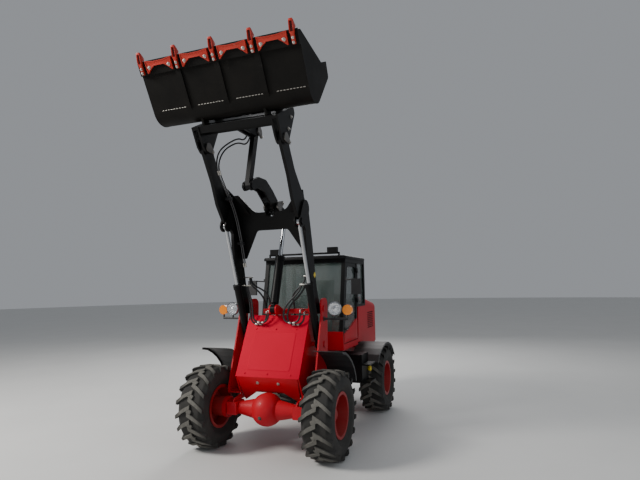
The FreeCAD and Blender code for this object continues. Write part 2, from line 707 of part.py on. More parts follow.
def hitch():
    """Quick coupler: cheek pairs round both arms, a cross beam and the link's lugs."""
    parts = []
    gap = 0.5 * ARM_T + 6.0
    pin = [(BUCKET_PIN[0], BUCKET_PIN[1], 0.5 * PIN_D + PIN_PLAY)]
    for side in (1, -1):
        for offset in (gap, -gap - 24.0):
            low, high = sorted((side * (ARM_Y + offset), side * (ARM_Y + offset + 24.0)))
            cheek = bucket_plate([
                (-70.0, -60.0, 55.0), (40.0, -100.0, 40.0), (HITCH_U, -100.0), (HITCH_U, 440.0),
                (200.0, 440.0, 60.0), (-75.0, 70.0, 60.0),
            ], low, high)
            parts.append(cheek.cut(across(pin[0][0], pin[0][1], low - 1, high + 1, pin[0][2])))
        low, high = sorted((side * (ARM_Y - gap), side * (ARM_Y + gap)))
        parts.append(bucket_plate([(250.0, -100.0), (HITCH_U, -100.0), (HITCH_U, 440.0), (250.0, 440.0)], low, high))
    beam_half = ARM_Y - gap
    beam = bucket_plate([(150.0, 60.0), (HITCH_U, 60.0), (HITCH_U, 260.0), (150.0, 260.0)], -beam_half, beam_half)
    parts.append(beam)
    tube = bucket_plate([(210.0, 340.0), (HITCH_U, 340.0), (HITCH_U, 420.0), (210.0, 420.0)], -beam_half, beam_half)
    parts.append(tube)
    low_bar = bucket_plate([(200.0, -90.0), (HITCH_U, -90.0), (HITCH_U, -30.0), (200.0, -30.0)], -beam_half, beam_half)
    parts.append(low_bar)
    for y in (34.0, -58.0):
        lug = bucket_plate([
            (HITCH_U, 60.0), (HITCH_U, 430.0), (120.0, 450.0, 50.0), (-10.0, 440.0, 60.0), (0.0, 330.0, 60.0),
            (150.0, 60.0),
        ], y, y + 24.0)
        parts.append(lug.cut(across(LINK_HEAD[0], LINK_HEAD[1], y - 1, y + 25, 0.5 * PIN_D + PIN_PLAY)))
    return joined(parts)


WALL_LOW = (218.0, FLOOR_V)
WALL_TOP = (540.0, 628.0)
WALL_ANGLE = math.atan2(WALL_TOP[1] - WALL_LOW[1], WALL_TOP[0] - WALL_LOW[0])
HEEL_CENTRE = (WALL_LOW[0] + HEEL_R / math.tan(0.5 * WALL_ANGLE), FLOOR_V + HEEL_R)


def bucket_back(v):
    """Place of the bucket's back wall, outer face, at a height over the hinge pin."""
    if v < HEEL_CENTRE[1] + HEEL_R * math.cos(WALL_ANGLE):
        return HEEL_CENTRE[0] - math.sqrt(HEEL_R ** 2 - (v - HEEL_CENTRE[1]) ** 2)
    return WALL_LOW[0] + (v - WALL_LOW[1]) / math.tan(WALL_ANGLE)


def bucket():
    """Bent shell, two side plates, floor ribs and the brackets that hang on the hitch."""
    half = 0.5 * BUCKET_W
    outer = [
        (FLOOR_U, FLOOR_V), (WALL_LOW[0], WALL_LOW[1], HEEL_R), (WALL_TOP[0], WALL_TOP[1], 60.0), (TOP_U, TOP_V),
    ]
    inner = [
        (TOP_U, TOP_V - BUCKET_SHEET), (WALL_TOP[0] + 10.0, WALL_TOP[1] - BUCKET_SHEET - 1.0, 50.0),
        (WALL_LOW[0] + BUCKET_SHEET / math.tan(0.5 * WALL_ANGLE), FLOOR_V + BUCKET_SHEET, HEEL_R - BUCKET_SHEET),
        (FLOOR_U, FLOOR_V + BUCKET_SHEET),
    ]
    shell = bucket_plate(outer + inner, -half + BUCKET_SIDE, half - BUCKET_SIDE)
    sides = []
    for y in (half - BUCKET_SIDE, -half):
        sides.append(bucket_plate([
            (FLOOR_U + 20.0, FLOOR_V), (WALL_LOW[0], WALL_LOW[1], HEEL_R), (WALL_TOP[0], WALL_TOP[1] + 12.0, 50.0),
            (TOP_U, TOP_V + 12.0), (730.0, TOP_V + 16.0, 14.0), (738.0, 460.0, 20.0), (FLOOR_U + 20.0, FLOOR_V + 70.0, 20.0),
        ], y, y + BUCKET_SIDE))
    edge = bucket_plate([
        (FLOOR_U - 130.0, FLOOR_V), (FLOOR_U - 130.0, FLOOR_V - 25.0), (FLOOR_U + 20.0, FLOOR_V - 25.0),
        (FLOOR_U + 34.0, FLOOR_V),
    ], -half, half)
    parts = [shell, edge] + sides
    for y in (-522.0, 0.0, 522.0):
        parts.append(bucket_plate([
            (500.0, FLOOR_V), (560.0, FLOOR_V - 18.0), (FLOOR_U - 130.0, FLOOR_V - 18.0), (FLOOR_U - 130.0, FLOOR_V),
        ], y - 35.0, y + 35.0))
    for y in (-430.0, 430.0):
        for v0, v1 in ((-60.0, 60.0), (250.0, 420.0)):
            parts.append(bucket_plate([
                (HITCH_U, v0), (HITCH_U, v1), (bucket_back(v1) + 8.0, v1), (bucket_back(v0) + 8.0, v0),
            ], y - 15.0, y + 15.0))
    return joined(parts)


def tooth_places():
    reach = 0.5 * BUCKET_W - 0.5 * TOOTH_W - 20.0
    return [-reach + 2.0 * reach * i / (TEETH - 1) for i in range(TEETH)]


def teeth():
    """Long bolt-on tips, forked over the cutting edge."""
    shapes = []
    low = FLOOR_V - 25.0 - FIT
    for y in tooth_places():
        body = bucket_plate([
            (FLOOR_U - 120.0, low), (FLOOR_U - 120.0, low - 30.0, 8.0), (FLOOR_U + 30.0, low - 34.0),
            (TIP_U, TIP_V), (TIP_U, TIP_V + 14.0), (FLOOR_U + 60.0, FLOOR_V + 26.0), (FLOOR_U + 36.0, low),
        ], y - 0.5 * TOOTH_W, y + 0.5 * TOOTH_W)
        shapes.append(body)
    return Part.makeCompound(shapes)


def edge_segments():
    """Bolt-on wear pieces between the teeth, waisted in the middle."""
    shapes = []
    places = tooth_places()
    low = FLOOR_V - 25.0 - FIT
    for left, right in zip(places[:-1], places[1:]):
        y0, y1 = left + 0.5 * TOOTH_W + 6.0, right - 0.5 * TOOTH_W - 6.0
        shapes.append(bucket_plate([
            (FLOOR_U - 70.0, low), (FLOOR_U - 70.0, low - 20.0), (FLOOR_U + 60.0, low - 20.0), (FLOOR_U + 90.0, low),
        ], y0, y1))
    return Part.makeCompound(shapes)


# Rear frame

HINGE_Z = (760.0, 1060.0)
EAR_H = 36.0
EAR_PLAY = 2.0


def rear_frame():
    """Two rails with cross members, the forked hinge ears and the seats of cab and hood."""
    parts = []
    inner = RAIL_Y - 0.5 * PLATE
    for y in (inner, -inner - PLATE):
        parts.append(side_plate([
            (PIVOT_X - 160.0, 720.0), (PIVOT_X - 160.0, RAIL_TOP, 40.0), (CAB_REAR - 20.0, RAIL_TOP),
            (CAB_REAR - 100.0, HOOD_LOW - PLATE), (RAIL_END, HOOD_LOW - PLATE), (RAIL_END, REAR_SEAT),
            (PIVOT_X - 260.0, REAR_SEAT),
        ], y, y + PLATE))
    for x in (PIVOT_X - 240.0, -WHEELBASE + 330.0, -WHEELBASE - 420.0):
        parts.append(block(x, x + PLATE, -inner, inner, REAR_SEAT + 118.0, RAIL_TOP - 180.0))
    for low in HINGE_Z:
        parts.append(upright(PIVOT_X, 0, low - 50.0, low + EAR_H + 50.0, 0.5 * PIVOT_PIN_D))
        for z in (low - 40.0 - EAR_PLAY, low + EAR_H + EAR_PLAY):
            parts.append(flat_plate([
                (PIVOT_X - 240.0, -inner), (PIVOT_X - 240.0, inner), (PIVOT_X - 160.0, inner),
                (PIVOT_X + 80.0, 110.0, 90.0), (PIVOT_X + 80.0, -110.0, 90.0), (PIVOT_X - 160.0, -inner),
            ], z, z + 40.0))
    half = 0.5 * HOOD_W
    for x in (HOOD_FRONT - 100.0, RAIL_END + 80.0):
        for low, high in ((inner, half), (-half, -inner)):
            parts.append(block(x - 60.0, x, low, high, HOOD_LOW - PLATE, HOOD_LOW))
    for x in (ENGINE_FRONT - 100.0, ENGINE_REAR + 100.0):
        parts.append(block(x - 40.0, x + 40.0, -inner, inner, ENGINE_LOW - 30.0, ENGINE_LOW))
    for x in (CAB_FRONT_LOW - 360.0, CAB_REAR + 60.0):
        for side in (1, -1):
            parts.append(upright(x, side * RAIL_Y, RAIL_TOP - 20.0, CAB_FLOOR, 34.0))
    return joined(parts)


JAW_L = 90.0
JAW_PIN_R = 20.0
WEIGHT_X = TAIL_X + JAW_L - 10.0
RAIL_END = WEIGHT_X + 100.0


def tail():
    """Counterweight across the rails' ends, with the two jaws of the tow hitch."""
    weight = flat_plate([
        (RAIL_END, -560.0), (RAIL_END, 560.0), (WEIGHT_X + 40.0, 560.0, 40.0), (WEIGHT_X, 420.0, 60.0),
        (WEIGHT_X, -420.0, 60.0), (WEIGHT_X + 40.0, -560.0, 40.0),
    ], AXLE_Z + 102.5, HOOD_LOW)
    jaws = []
    for z in (760.0, 850.0):
        jaws.append(flat_plate([
            (WEIGHT_X + 10.0, -80.0), (WEIGHT_X + 10.0, 80.0), (TAIL_X, 60.0, 50.0), (TAIL_X, -60.0, 50.0),
        ], z, z + 24.0))
    shape = joined([weight] + jaws)
    return shape.cut(upright(TAIL_X + 48.0, 0, 740.0, 900.0, JAW_PIN_R))


HOOD_FRONT = CAB_REAR - HOOD_GAP
HOOD_REAR = WEIGHT_X + 20.0
ENGINE_FRONT = CAB_REAR - 60.0
ENGINE_REAR = ENGINE_FRONT - 760.0
ENGINE_LOW = CAB_FLOOR - 200.0


def engine():
    return block(ENGINE_REAR, ENGINE_FRONT, -230.0, 230.0, ENGINE_LOW, ENGINE_LOW + 620.0)




def hood_slope(x):
    part = (HOOD_FRONT - x) / (HOOD_FRONT - HOOD_REAR)
    return HOOD_TOP_FRONT + part * (HOOD_TOP_REAR - HOOD_TOP_FRONT)


def hood_side(side):
    half = 0.5 * HOOD_W
    shape = side_plate([
        (HOOD_FRONT, HOOD_LOW), (HOOD_FRONT, HOOD_TOP_FRONT - 120.0), (HOOD_REAR, HOOD_TOP_REAR - 120.0), (HOOD_REAR, HOOD_LOW),
    ], half - SKIN, half)
    slots = []
    for i in range(9):
        z = HOOD_LOW + 280.0 + i * 34.0
        slots.append(block(HOOD_REAR + 160.0, HOOD_REAR + 560.0, half - SKIN - 1.0, half + 1.0, z, z + 18.0))
    shape = shape.cut(Part.makeCompound(slots))
    return shape if side > 0 else mirrored(shape)


def hood_top():
    half = 0.5 * HOOD_W
    raised = [(-half, -120.0), (-half, 0.0, 110.0), (half, 0.0, 110.0), (half, -120.0),
              (half - SKIN, -120.0), (half - SKIN, -SKIN, 104.0), (-half + SKIN, -SKIN, 104.0), (-half + SKIN, -120.0)]
    wires = []
    for x, z in ((HOOD_FRONT, HOOD_TOP_FRONT), (HOOD_REAR, HOOD_TOP_REAR)):
        wires.append(outline([(p[0], z + p[1]) + tuple(p[2:]) for p in raised], lambda y, h, x=x: Vector(x, y, h)))
    return Part.makeLoft(wires, True, True)


def hood_rear():
    half = 0.5 * HOOD_W
    plate = front_plate([
        (-half, HOOD_LOW), (half, HOOD_LOW), (half, HOOD_TOP_REAR, 110.0), (-half, HOOD_TOP_REAR, 110.0),
    ], HOOD_REAR - SKIN - FIT, HOOD_REAR - FIT)
    slots = []
    for i in range(14):
        z = HOOD_LOW + 120.0 + i * 38.0
        slots.append(block(HOOD_REAR - 20.0, HOOD_REAR + 10.0, -360.0, 360.0, z, z + 20.0))
    return plate.cut(Part.makeCompound(slots))


def rear_fender(side):
    run = round_tyre(-WHEELBASE, REAR_GUARD)
    inner = 0.5 * HOOD_W + 8.0
    guard = side_plate(sheet_profile(run, SKIN), inner, FENDER_Y)
    lip = side_plate(sheet_profile(run, 30.0), FENDER_Y - SKIN, FENDER_Y)
    parts = [guard, lip]
    for x, z in (run[1], run[-2]):
        reach = 20.0 if x > -WHEELBASE else -20.0
        parts.append(block(*sorted((x, x - 3.0 * reach)), RAIL_Y + 0.5 * PLATE, inner + 60.0, z - 20.0, z))
    shape = joined(parts)
    return shape if side > 0 else mirrored(shape)


def step_box(side):
    """Tank beside the rear frame with the steps up to the cab."""
    x, z = -WHEELBASE + 700.0, AXLE_Z + 102.5
    tank = block(x, x + 370.0, RAIL_Y + 0.5 * PLATE, 880.0, z, CAB_FLOOR - 130.0)
    treads = [block(x + 20.0, x + 350.0, 880.0, 1000.0, low, low + 20.0) for low in (z, z + 260.0)]
    shape = joined([tank] + treads)
    return shape if side > 0 else mirrored(shape)


# Cab

SKIRT = 38.0
DOOR_LOW = CAB_FLOOR + 60.0


def cab_half():
    return 0.5 * CAB_W


def cab_base():
    """Floor, lower front cover, lower sides and the wall behind the seat."""
    half = cab_half()
    floor = block(CAB_REAR, CAB_FRONT_LOW - 30.0, -half, half, CAB_FLOOR, CAB_FLOOR + 20.0)
    front = side_plate([
        (CAB_FRONT_LOW - 35.0, CAB_FLOOR - SKIRT), (CAB_FRONT_LOW, SILL_Z), (CAB_FRONT_LOW - 20.0, SILL_Z),
        (CAB_FRONT_LOW - 50.0, CAB_FLOOR + 20.0), (CAB_FRONT_LOW - 50.0, CAB_FLOOR - SKIRT),
    ], -half, half)
    rear = block(CAB_REAR, CAB_REAR + 20.0, -half, half, CAB_FLOOR + 20.0, BELT_Z)
    sides = []
    for y in (half - 12.0, -half):
        sides.append(side_plate([
            (CAB_REAR + 20.0, CAB_FLOOR + 20.0), (CAB_REAR + 20.0, BELT_Z), (DOOR_POST_X - 60.0, BELT_Z),
            (DOOR_POST_X - 30.0, DOOR_LOW - 10.0, 60.0), (CAB_FRONT_LOW - 50.0, DOOR_LOW - 10.0),
            (CAB_FRONT_LOW - 50.0, CAB_FLOOR - SKIRT), (DOOR_POST_X, CAB_FLOOR - SKIRT), (DOOR_POST_X, CAB_FLOOR + 20.0),
        ], y, y + 12.0))
    return joined([floor, front, rear] + sides)


def post(a, b, y, w=POST):
    """Cab post between two side-view points, as wide as it is deep."""
    dx, dz = b[0] - a[0], b[1] - a[1]
    return side_plate([a, b, (b[0] - w, b[1]), (a[0] - w, a[1])], y, y + w)


def cab_frame():
    half = cab_half()
    top = CAB_TOP - 90.0
    parts = []
    for y in (half - POST, -half):
        parts.append(post((CAB_FRONT_LOW, SILL_Z), (CAB_FRONT_TOP, top), y))
        parts.append(post((DOOR_POST_X, BELT_Z), (DOOR_POST_X, top), y))
        parts.append(post((CAB_REAR + POST, BELT_Z), (CAB_REAR + POST, top), y))
        parts.append(block(CAB_REAR, CAB_FRONT_TOP, y, y + POST, top, top + POST))
    parts.append(block(CAB_FRONT_TOP - POST, CAB_FRONT_TOP, -half, half, top, top + POST))
    parts.append(block(CAB_REAR, CAB_REAR + POST, -half, half, top, top + POST))
    parts.append(block(CAB_REAR, CAB_REAR + POST, -half, half, BELT_Z, BELT_Z + POST))
    for y in (half - POST, -half):
        parts.append(block(CAB_REAR, DOOR_POST_X, y, y + POST, BELT_Z, BELT_Z + 40.0))
    hx, hy = DOOR_HINGE
    for z in KNUCKLE_Z:
        parts.append(block(hx - 45.0, hx + 10.0, half, hy + 8.0, z - 26.0, z - FIT))
        parts.append(upright(hx, hy, z - 26.0, z + KNUCKLE_H + 4.0, DOOR_PIN_R))
    return joined(parts)


def cab_roof():
    half = cab_half() + 20.0
    cap = flat_plate([
        (CAB_REAR - 20.0, -half, 90.0), (CAB_REAR - 20.0, half, 90.0), (CAB_FRONT_TOP + 90.0, half, 60.0),
        (CAB_FRONT_TOP + 90.0, -half, 60.0),
    ], CAB_TOP - 90.0 + POST, CAB_TOP + 20.0)
    return cap


def cab_glass():
    """Windscreen, rear, right side and rear quarter panes, set inside the posts."""
    half = cab_half()
    top = CAB_TOP - 90.0
    panes = [side_plate([
        (CAB_FRONT_LOW - 20.0, SILL_Z), (CAB_FRONT_TOP - 20.0, top), (CAB_FRONT_TOP - 20.0 - GLASS, top),
        (CAB_FRONT_LOW - 20.0 - GLASS, SILL_Z),
    ], -half + POST + FIT, half - POST - FIT)]
    panes.append(block(
        CAB_REAR + 20.0, CAB_REAR + 20.0 + GLASS, -half + POST + FIT, half - POST - FIT, BELT_Z + POST + FIT, top - FIT))
    for y in (half - 30.0, -half + 30.0 - GLASS):
        panes.append(block(CAB_REAR + POST + FIT, DOOR_POST_X - POST - FIT, y, y + GLASS, BELT_Z + 40.0 + FIT, top - FIT))
    y = -half + 30.0 - GLASS
    panes.append(side_plate([
        (DOOR_POST_X + FIT, DOOR_LOW - 10.0 + FIT), (DOOR_POST_X + FIT, top - FIT), (CAB_FRONT_TOP - POST - FIT, top - FIT),
        (CAB_FRONT_LOW - POST - FIT, SILL_Z), (CAB_FRONT_LOW - POST - FIT, DOOR_LOW - 10.0 + FIT),
    ], y, y + GLASS))
    return Part.makeCompound(panes)


DOOR_HINGE = (DOOR_POST_X + 5.0, 0.5 * CAB_W + 14.0)
KNUCKLE_Z = (BELT_Z + 100.0, CAB_TOP - 220.0)
KNUCKLE_R = 13.0
KNUCKLE_H = 46.0
DOOR_PIN_R = 7.0


def door_outline(inset):
    top = CAB_TOP - 90.0
    return [
        (DOOR_POST_X + 5.0 + inset, DOOR_LOW + inset, 40.0), (DOOR_POST_X + 5.0 + inset, top - 5.0 - inset, 40.0),
        (CAB_FRONT_TOP - POST - 8.0 - inset * 0.8, top - 5.0 - inset, 40.0),
        (CAB_FRONT_LOW - POST - 10.0 - inset, SILL_Z, 30.0), (CAB_FRONT_LOW - POST - 10.0 - inset, DOOR_LOW + inset, 40.0),
    ]


def door():
    y = 0.5 * CAB_W - 46.0
    frame = side_plate(door_outline(0.0), y, y + 40.0).cut(side_plate(door_outline(55.0), y - 1.0, y + 41.0))
    hx, hy = DOOR_HINGE
    parts, holes = [frame], []
    for z in KNUCKLE_Z:
        parts.append(upright(hx, hy, z, z + KNUCKLE_H, KNUCKLE_R))
        parts.append(block(hx, hx + 50.0, y + 38.0, hy + 4.0, z, z + KNUCKLE_H))
        holes.append(upright(hx, hy, z - 1, z + KNUCKLE_H + 1, DOOR_PIN_R + PIN_PLAY))
    return joined(parts).cut(Part.makeCompound(holes))


def door_glass():
    y = 0.5 * CAB_W - 30.0
    return side_plate(door_outline(55.0 + FIT), y, y + GLASS)


def seat():
    x, z = CAB_REAR + 280.0, CAB_FLOOR + 370.0
    cushion = block(x, x + 470.0, -250.0, 250.0, z, z + 120.0)
    back = side_plate([
        (x, z + 120.0), (x + 90.0, z + 120.0), (x - 10.0, z + 690.0, 30.0), (x - 100.0, z + 690.0, 30.0),
    ], -230.0, 230.0)
    base = block(x + 30.0, x + 410.0, -180.0, 180.0, CAB_FLOOR + 20.0, z)
    return joined([cushion, back, base])


def console():
    """Steering column and wheel with the dash behind the windscreen."""
    x, z = CAB_FRONT_LOW, CAB_FLOOR
    dash = side_plate([
        (x - 160.0, z + 20.0), (x - 160.0, z + 450.0, 30.0), (x - 105.0, z + 450.0, 20.0), (x - 60.0, SILL_Z),
        (x - 60.0, z + 20.0),
    ], -200.0, 200.0)
    column = bar((x - 130.0, 0.0, z + 385.0), (x - 339.0, 0.0, z + 662.0), 28.0)
    wheel = Part.makeTorus(190.0, 16.0, Vector(x - 340.0, 0, z + 663.0), Vector(-0.6, 0, 0.8))
    spokes = [bar((x - 338.0, 0, z + 661.0), (x - 338.0, s * 180.0, z + 661.0), 12.0) for s in (1, -1)]
    return joined([dash, column, wheel] + spokes)


def mirrors():
    shapes = []
    for side in (1, -1):
        low, high = sorted((side * 0.5 * CAB_W, side * (0.5 * CAB_W + 20.0)))
        x, z = CAB_FRONT_TOP, CAB_TOP - 360.0
        foot = block(x + 7.0, x + 47.0, low, high, z - 10.0, z + 40.0)
        arm = bar((x + 37.0, side * (0.5 * CAB_W + 14.0), z), (x + 97.0, side * (0.5 * CAB_W + 180.0), z + 10.0), 10.0)
        inner, outer = sorted((side * (0.5 * CAB_W + 120.0), side * (0.5 * CAB_W + 270.0)))
        glass = block(x + 82.0, x + 112.0, inner, outer, z - 220.0, z + 15.0)
        shapes.append(joined([foot, arm, glass]))
    return Part.makeCompound(shapes)


def roof_rail():
    """Tube over the windscreen with the work lamps."""
    x, reach = CAB_FRONT_TOP + 24.0, 0.5 * CAB_W - 80.0
    parts = [bar((x, -reach, CAB_TOP + 60.0), (x, reach, CAB_TOP + 60.0), 16.0)]
    for y in (10.0 - reach, reach - 10.0):
        parts.append(bar((x, y, CAB_TOP + 20.0), (x, y, CAB_TOP + 60.0), 14.0))
    for y in (110.0 - reach, reach - 110.0):
        parts.append(block(x - 27.0, x + 43.0, y - 80.0, y + 80.0, CAB_TOP + 60.0, CAB_TOP + 150.0))
    return joined(parts)


def build():
    nodes = {}
    rim_shape, tyre_shape = rim(), tyre()
    for axle_name, x in (("front", 0.0), ("rear", -WHEELBASE)):
        for side_name, side in (("left", 1), ("right", -1)):
            nodes["rim_%s_%s" % (axle_name, side_name)] = wheel_at(rim_shape, x, side)
            nodes["tyre_%s_%s" % (axle_name, side_name)] = wheel_at(tyre_shape, x, side)
    nodes["axle_front"] = axle(0.0, INNER_Y - 40.0, AXLE_SEAT)
    nodes["axle_rear"] = axle(-WHEELBASE, RAIL_Y - 0.5 * PAD_W, REAR_SEAT)
    for side_name, side in (("left", 1), ("right", -1)):
        nodes["boom_arm_%s" % side_name] = boom_arm(side)
    for name, make in (
        ("towers", tower), ("fenders_front", front_fender), ("fenders_rear", rear_fender), ("step_boxes", step_box),
        ("hood_sides", hood_side), ("headlight_lenses", headlight_lens), ("signals", signal),
        ("lift_barrels", lift_barrel), ("lift_rods", lift_rod),
    ):
        nodes[name] = Part.makeCompound([make(1), make(-1)])
    nodes["headlights"] = Part.makeCompound([make(side) for make in (lamp_arm, headlight) for side in (1, -1)])
    singles = (
        front_panel, front_frame, tilt_barrel, tilt_rod, boom_cross, rocker_pin, rocker, link_pin, link,
        hinge_pins, hitch, bucket, teeth, edge_segments, rear_frame, tail, engine, hood_top, hood_rear,
        cab_base, cab_frame, cab_roof, cab_glass, door, door_glass, seat, console, mirrors, roof_rail,
    )
    for make in singles:
        nodes[make.__name__] = make()
    return nodes


def write(nodes):
    os.makedirs("parts", exist_ok=True)
    for name, shape in nodes.items():
        moved = shape.translated(Vector(FRONT_AXLE_X, 0, 0))
        moved.exportStep("parts/%s.step" % name)
        print(name, moved.isValid(), len(moved.Solids), round(moved.Volume / 1e6, 2))


if __name__ == "__main__":
    write(build())
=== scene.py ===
import math
import bpy
import bmesh
from mathutils import Matrix, Vector


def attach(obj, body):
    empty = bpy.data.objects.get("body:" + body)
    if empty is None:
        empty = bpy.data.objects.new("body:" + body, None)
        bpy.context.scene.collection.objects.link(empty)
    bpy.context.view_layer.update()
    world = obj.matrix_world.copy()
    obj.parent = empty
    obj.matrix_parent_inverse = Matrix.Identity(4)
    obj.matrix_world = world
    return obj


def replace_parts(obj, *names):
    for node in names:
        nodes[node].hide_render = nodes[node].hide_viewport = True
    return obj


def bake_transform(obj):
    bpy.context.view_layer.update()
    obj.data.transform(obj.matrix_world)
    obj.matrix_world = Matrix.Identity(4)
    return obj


# Compact wheel loader: finishes, fasteners, lamps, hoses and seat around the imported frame.
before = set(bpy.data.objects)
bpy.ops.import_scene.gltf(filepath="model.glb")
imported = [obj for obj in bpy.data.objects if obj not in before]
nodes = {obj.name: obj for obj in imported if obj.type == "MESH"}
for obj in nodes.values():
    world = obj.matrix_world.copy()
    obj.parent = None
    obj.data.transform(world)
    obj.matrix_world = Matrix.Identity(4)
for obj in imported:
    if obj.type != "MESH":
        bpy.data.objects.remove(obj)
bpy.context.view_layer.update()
print("frame loaded:", len(nodes), "nodes")

axleX = 1.1428        # the front axle's place along the machine, metres


def machineX(x):
    return axleX + x


def spot(x, y, z):
    return (machineX(x), y, z)


# camera at the photograph's angle
shot = {
    "place": spot(5.804, 2.940, 2.1374),
    "heading": (-0.9368, -0.3499),   # level direction that it looks in
    "pitch": math.radians(5.22),
    "roll": math.radians(1.095),
    "lens": 27.313,
    "sensor": 36.0,
}


def placeCamera():
    hx, hy = shot["heading"]
    c, s = math.cos(shot["pitch"]), math.sin(shot["pitch"])
    look = Vector((c * hx, c * hy, s))
    right = Vector((hy, -hx, 0))
    up = right.cross(look)
    cr, sr = math.cos(shot["roll"]), math.sin(shot["roll"])
    across, tall = cr * right - sr * up, cr * up + sr * right
    turn = Matrix((across, tall, -look)).transposed()
    data = bpy.data.cameras.new("shot")
    data.lens, data.sensor_width = shot["lens"], shot["sensor"]
    camera = bpy.data.objects.new("shot", data)
    bpy.context.scene.collection.objects.link(camera)
    camera.matrix_world = Matrix.Translation(shot["place"]) @ turn.to_4x4()
    bpy.context.scene.camera = camera


placeCamera()


# lights, and the sky's even light
lamps = [
    # name, place, aims at, width, power, colour
    ("keyLight", (7.0, -7.5, 8.0), (0.0, 0.0, 1.2), 3.2, 1350, (1.0, 0.97, 0.93)),
    ("sideLight", (3.5, 8.0, 4.5), (0.0, 0.0, 1.4), 6.0, 110, (0.9, 0.95, 1.0)),
    ("backLight", (-8.0, -2.0, 7.0), (0.0, 0.0, 1.8), 6.0, 500, (1.0, 1.0, 1.0)),
    ("lowFill", (9.0, 2.5, 1.2), (0.0, 0.0, 2.4), 5.0, 60, (1.0, 1.0, 1.0)),
]
for name, place, target, width, power, colour in lamps:
    light = bpy.data.lights.new(name, "AREA")
    light.size, light.energy, light.color = width, power, colour
    holder = bpy.data.objects.new(name, light)
    bpy.context.scene.collection.objects.link(holder)
    holder.location = place
    holder.rotation_euler = (Vector(target) - Vector(place)).to_track_quat("-Z", "Y").to_euler()
sky = {"Color": (0.86, 0.9, 0.96, 1.0), "Strength": 0.34}
world = bpy.data.worlds.new("sky")
bpy.context.scene.world = world
world.use_nodes = True
for key, value in sky.items():
    world.node_tree.nodes["Background"].inputs[key].default_value = value
print("camera and lights set")


# a socket that Python's operators work on: each sum or product adds its Math node
class Wire:
    def __init__(self, coat, socket):
        self.coat, self.socket = coat, socket

    def __add__(self, other):
        return self.coat.maths("ADD", self, other)

    def __radd__(self, other):
        return self.coat.maths("ADD", other, self)

    def __sub__(self, other):
        return self.coat.maths("SUBTRACT", self, other)

    def __rsub__(self, other):
        return self.coat.maths("SUBTRACT", other, self)

    def __mul__(self, other):
        return self.coat.maths("MULTIPLY", self, other)

    def held(self):  # kept between 0 and 1
        return self.coat.maths("ADD", self, 0.0, clamp=True)


class Coat:
    def __init__(self, name):
        self.material = bpy.data.materials.new(name)
        self.material.use_nodes = True
        self.tree = self.material.node_tree
        self.shader = self.tree.nodes["Principled BSDF"]
        self.place = self.node("TexCoord", out="Object")

    # any node: its type, its settings, its inputs' values or wires, and the output wanted
    def node(self, kind, settings=None, feeds=None, out=0):
        made = self.tree.nodes.new("ShaderNode" + kind)
        for key, value in (settings or {}).items():
            setattr(made, key, value)
        for key, value in (feeds or {}).items():
            self.feed(made.inputs[key], value)
        return Wire(self, made.outputs[out])

    def feed(self, socket, value):
        if isinstance(value, Wire):
            self.tree.links.new(value.socket, socket)
        elif isinstance(value, tuple) and len(value) == 3 and socket.type == "RGBA":
            socket.default_value = (*value, 1.0)
        else:
            socket.default_value = value

    def maths(self, how, a, b, clamp=False):
        return self.node("Math", {"operation": how, "use_clamp": clamp}, {0: a, 1: b})

    def noise(self, scale, detail=4.0, rough=0.55, place=None):
        return self.node("TexNoise", {}, {
            "Vector": place or self.place, "Scale": scale, "Detail": detail, "Roughness": rough})

    def cells(self, scale):
        return self.node("TexVoronoi", {}, {"Vector": self.place, "Scale": scale})

    def stretched(self, scale, turn=(0, 0, 0), centre=(0, 0, 0)):
        return self.node("Mapping", {}, {
            "Vector": self.place, "Location": tuple(-a for a in centre), "Rotation": turn, "Scale": scale})

    def blend(self, share, a, b):
        return self.node("Mix", {"data_type": "RGBA"}, {0: share, 6: a, 7: b}, out=2)

    def axis(self, which, source=None):
        return self.node("SeparateXYZ", {}, {0: source or self.place}, out=which)

    def facingUp(self):
        return self.axis("Z", self.node("NewGeometry", out="Normal"))

    def bump(self, height, strength, depth):
        self.feed(self.shader.inputs["Normal"], self.node(
            "Bump", {}, {"Height": height, "Strength": strength, "Distance": depth}))

    def set(self, **values):
        for key, value in values.items():
            self.feed(self.shader.inputs[key.replace("_", " ")], value)


dustShade = (0.30, 0.255, 0.20)


# dust lies on faces that look up and low down on the machine, in patches
def dustMask(coat, most, lowest=0.9):
    patches = coat.noise(3.2, 5.0, 0.62)
    specks = coat.noise(46.0, 3.0, 0.6)
    level = ((coat.facingUp() - 0.45) * 1.2).held()
    low = ((lowest - coat.axis("Z")) * 0.9).held()
    return ((level * 0.75 + low * 0.8) * (patches * 1.5 - 0.25).held() * (specks * 0.8 + 0.55) * most).held()


def paintCoat(name, shade, dark, dust, rough, coatWeight, shine=0.3, peel=0.05):
    coat = Coat(name)
    mask = dustMask(coat, dust)
    tone = coat.noise(1.7, 3.0, 0.5)
    rub = coat.noise(14.0, 6.0, 0.7, coat.stretched((1.0, 1.0, 4.0)))
    painted = coat.blend((tone * 1.6 - 0.4).held(), dark, shade)
    base = coat.blend(mask, painted, dustShade)
    coat.set(Base_Color=base, Roughness=(rough + rub * 0.12 + mask * 0.5).held(),
             Coat_Weight=coatWeight, Coat_Roughness=0.12, Specular_IOR_Level=shine)
    coat.bump(coat.noise(420.0, 2.0) * 0.5 + coat.noise(26.0, 2.0), peel, 0.002)
    return coat


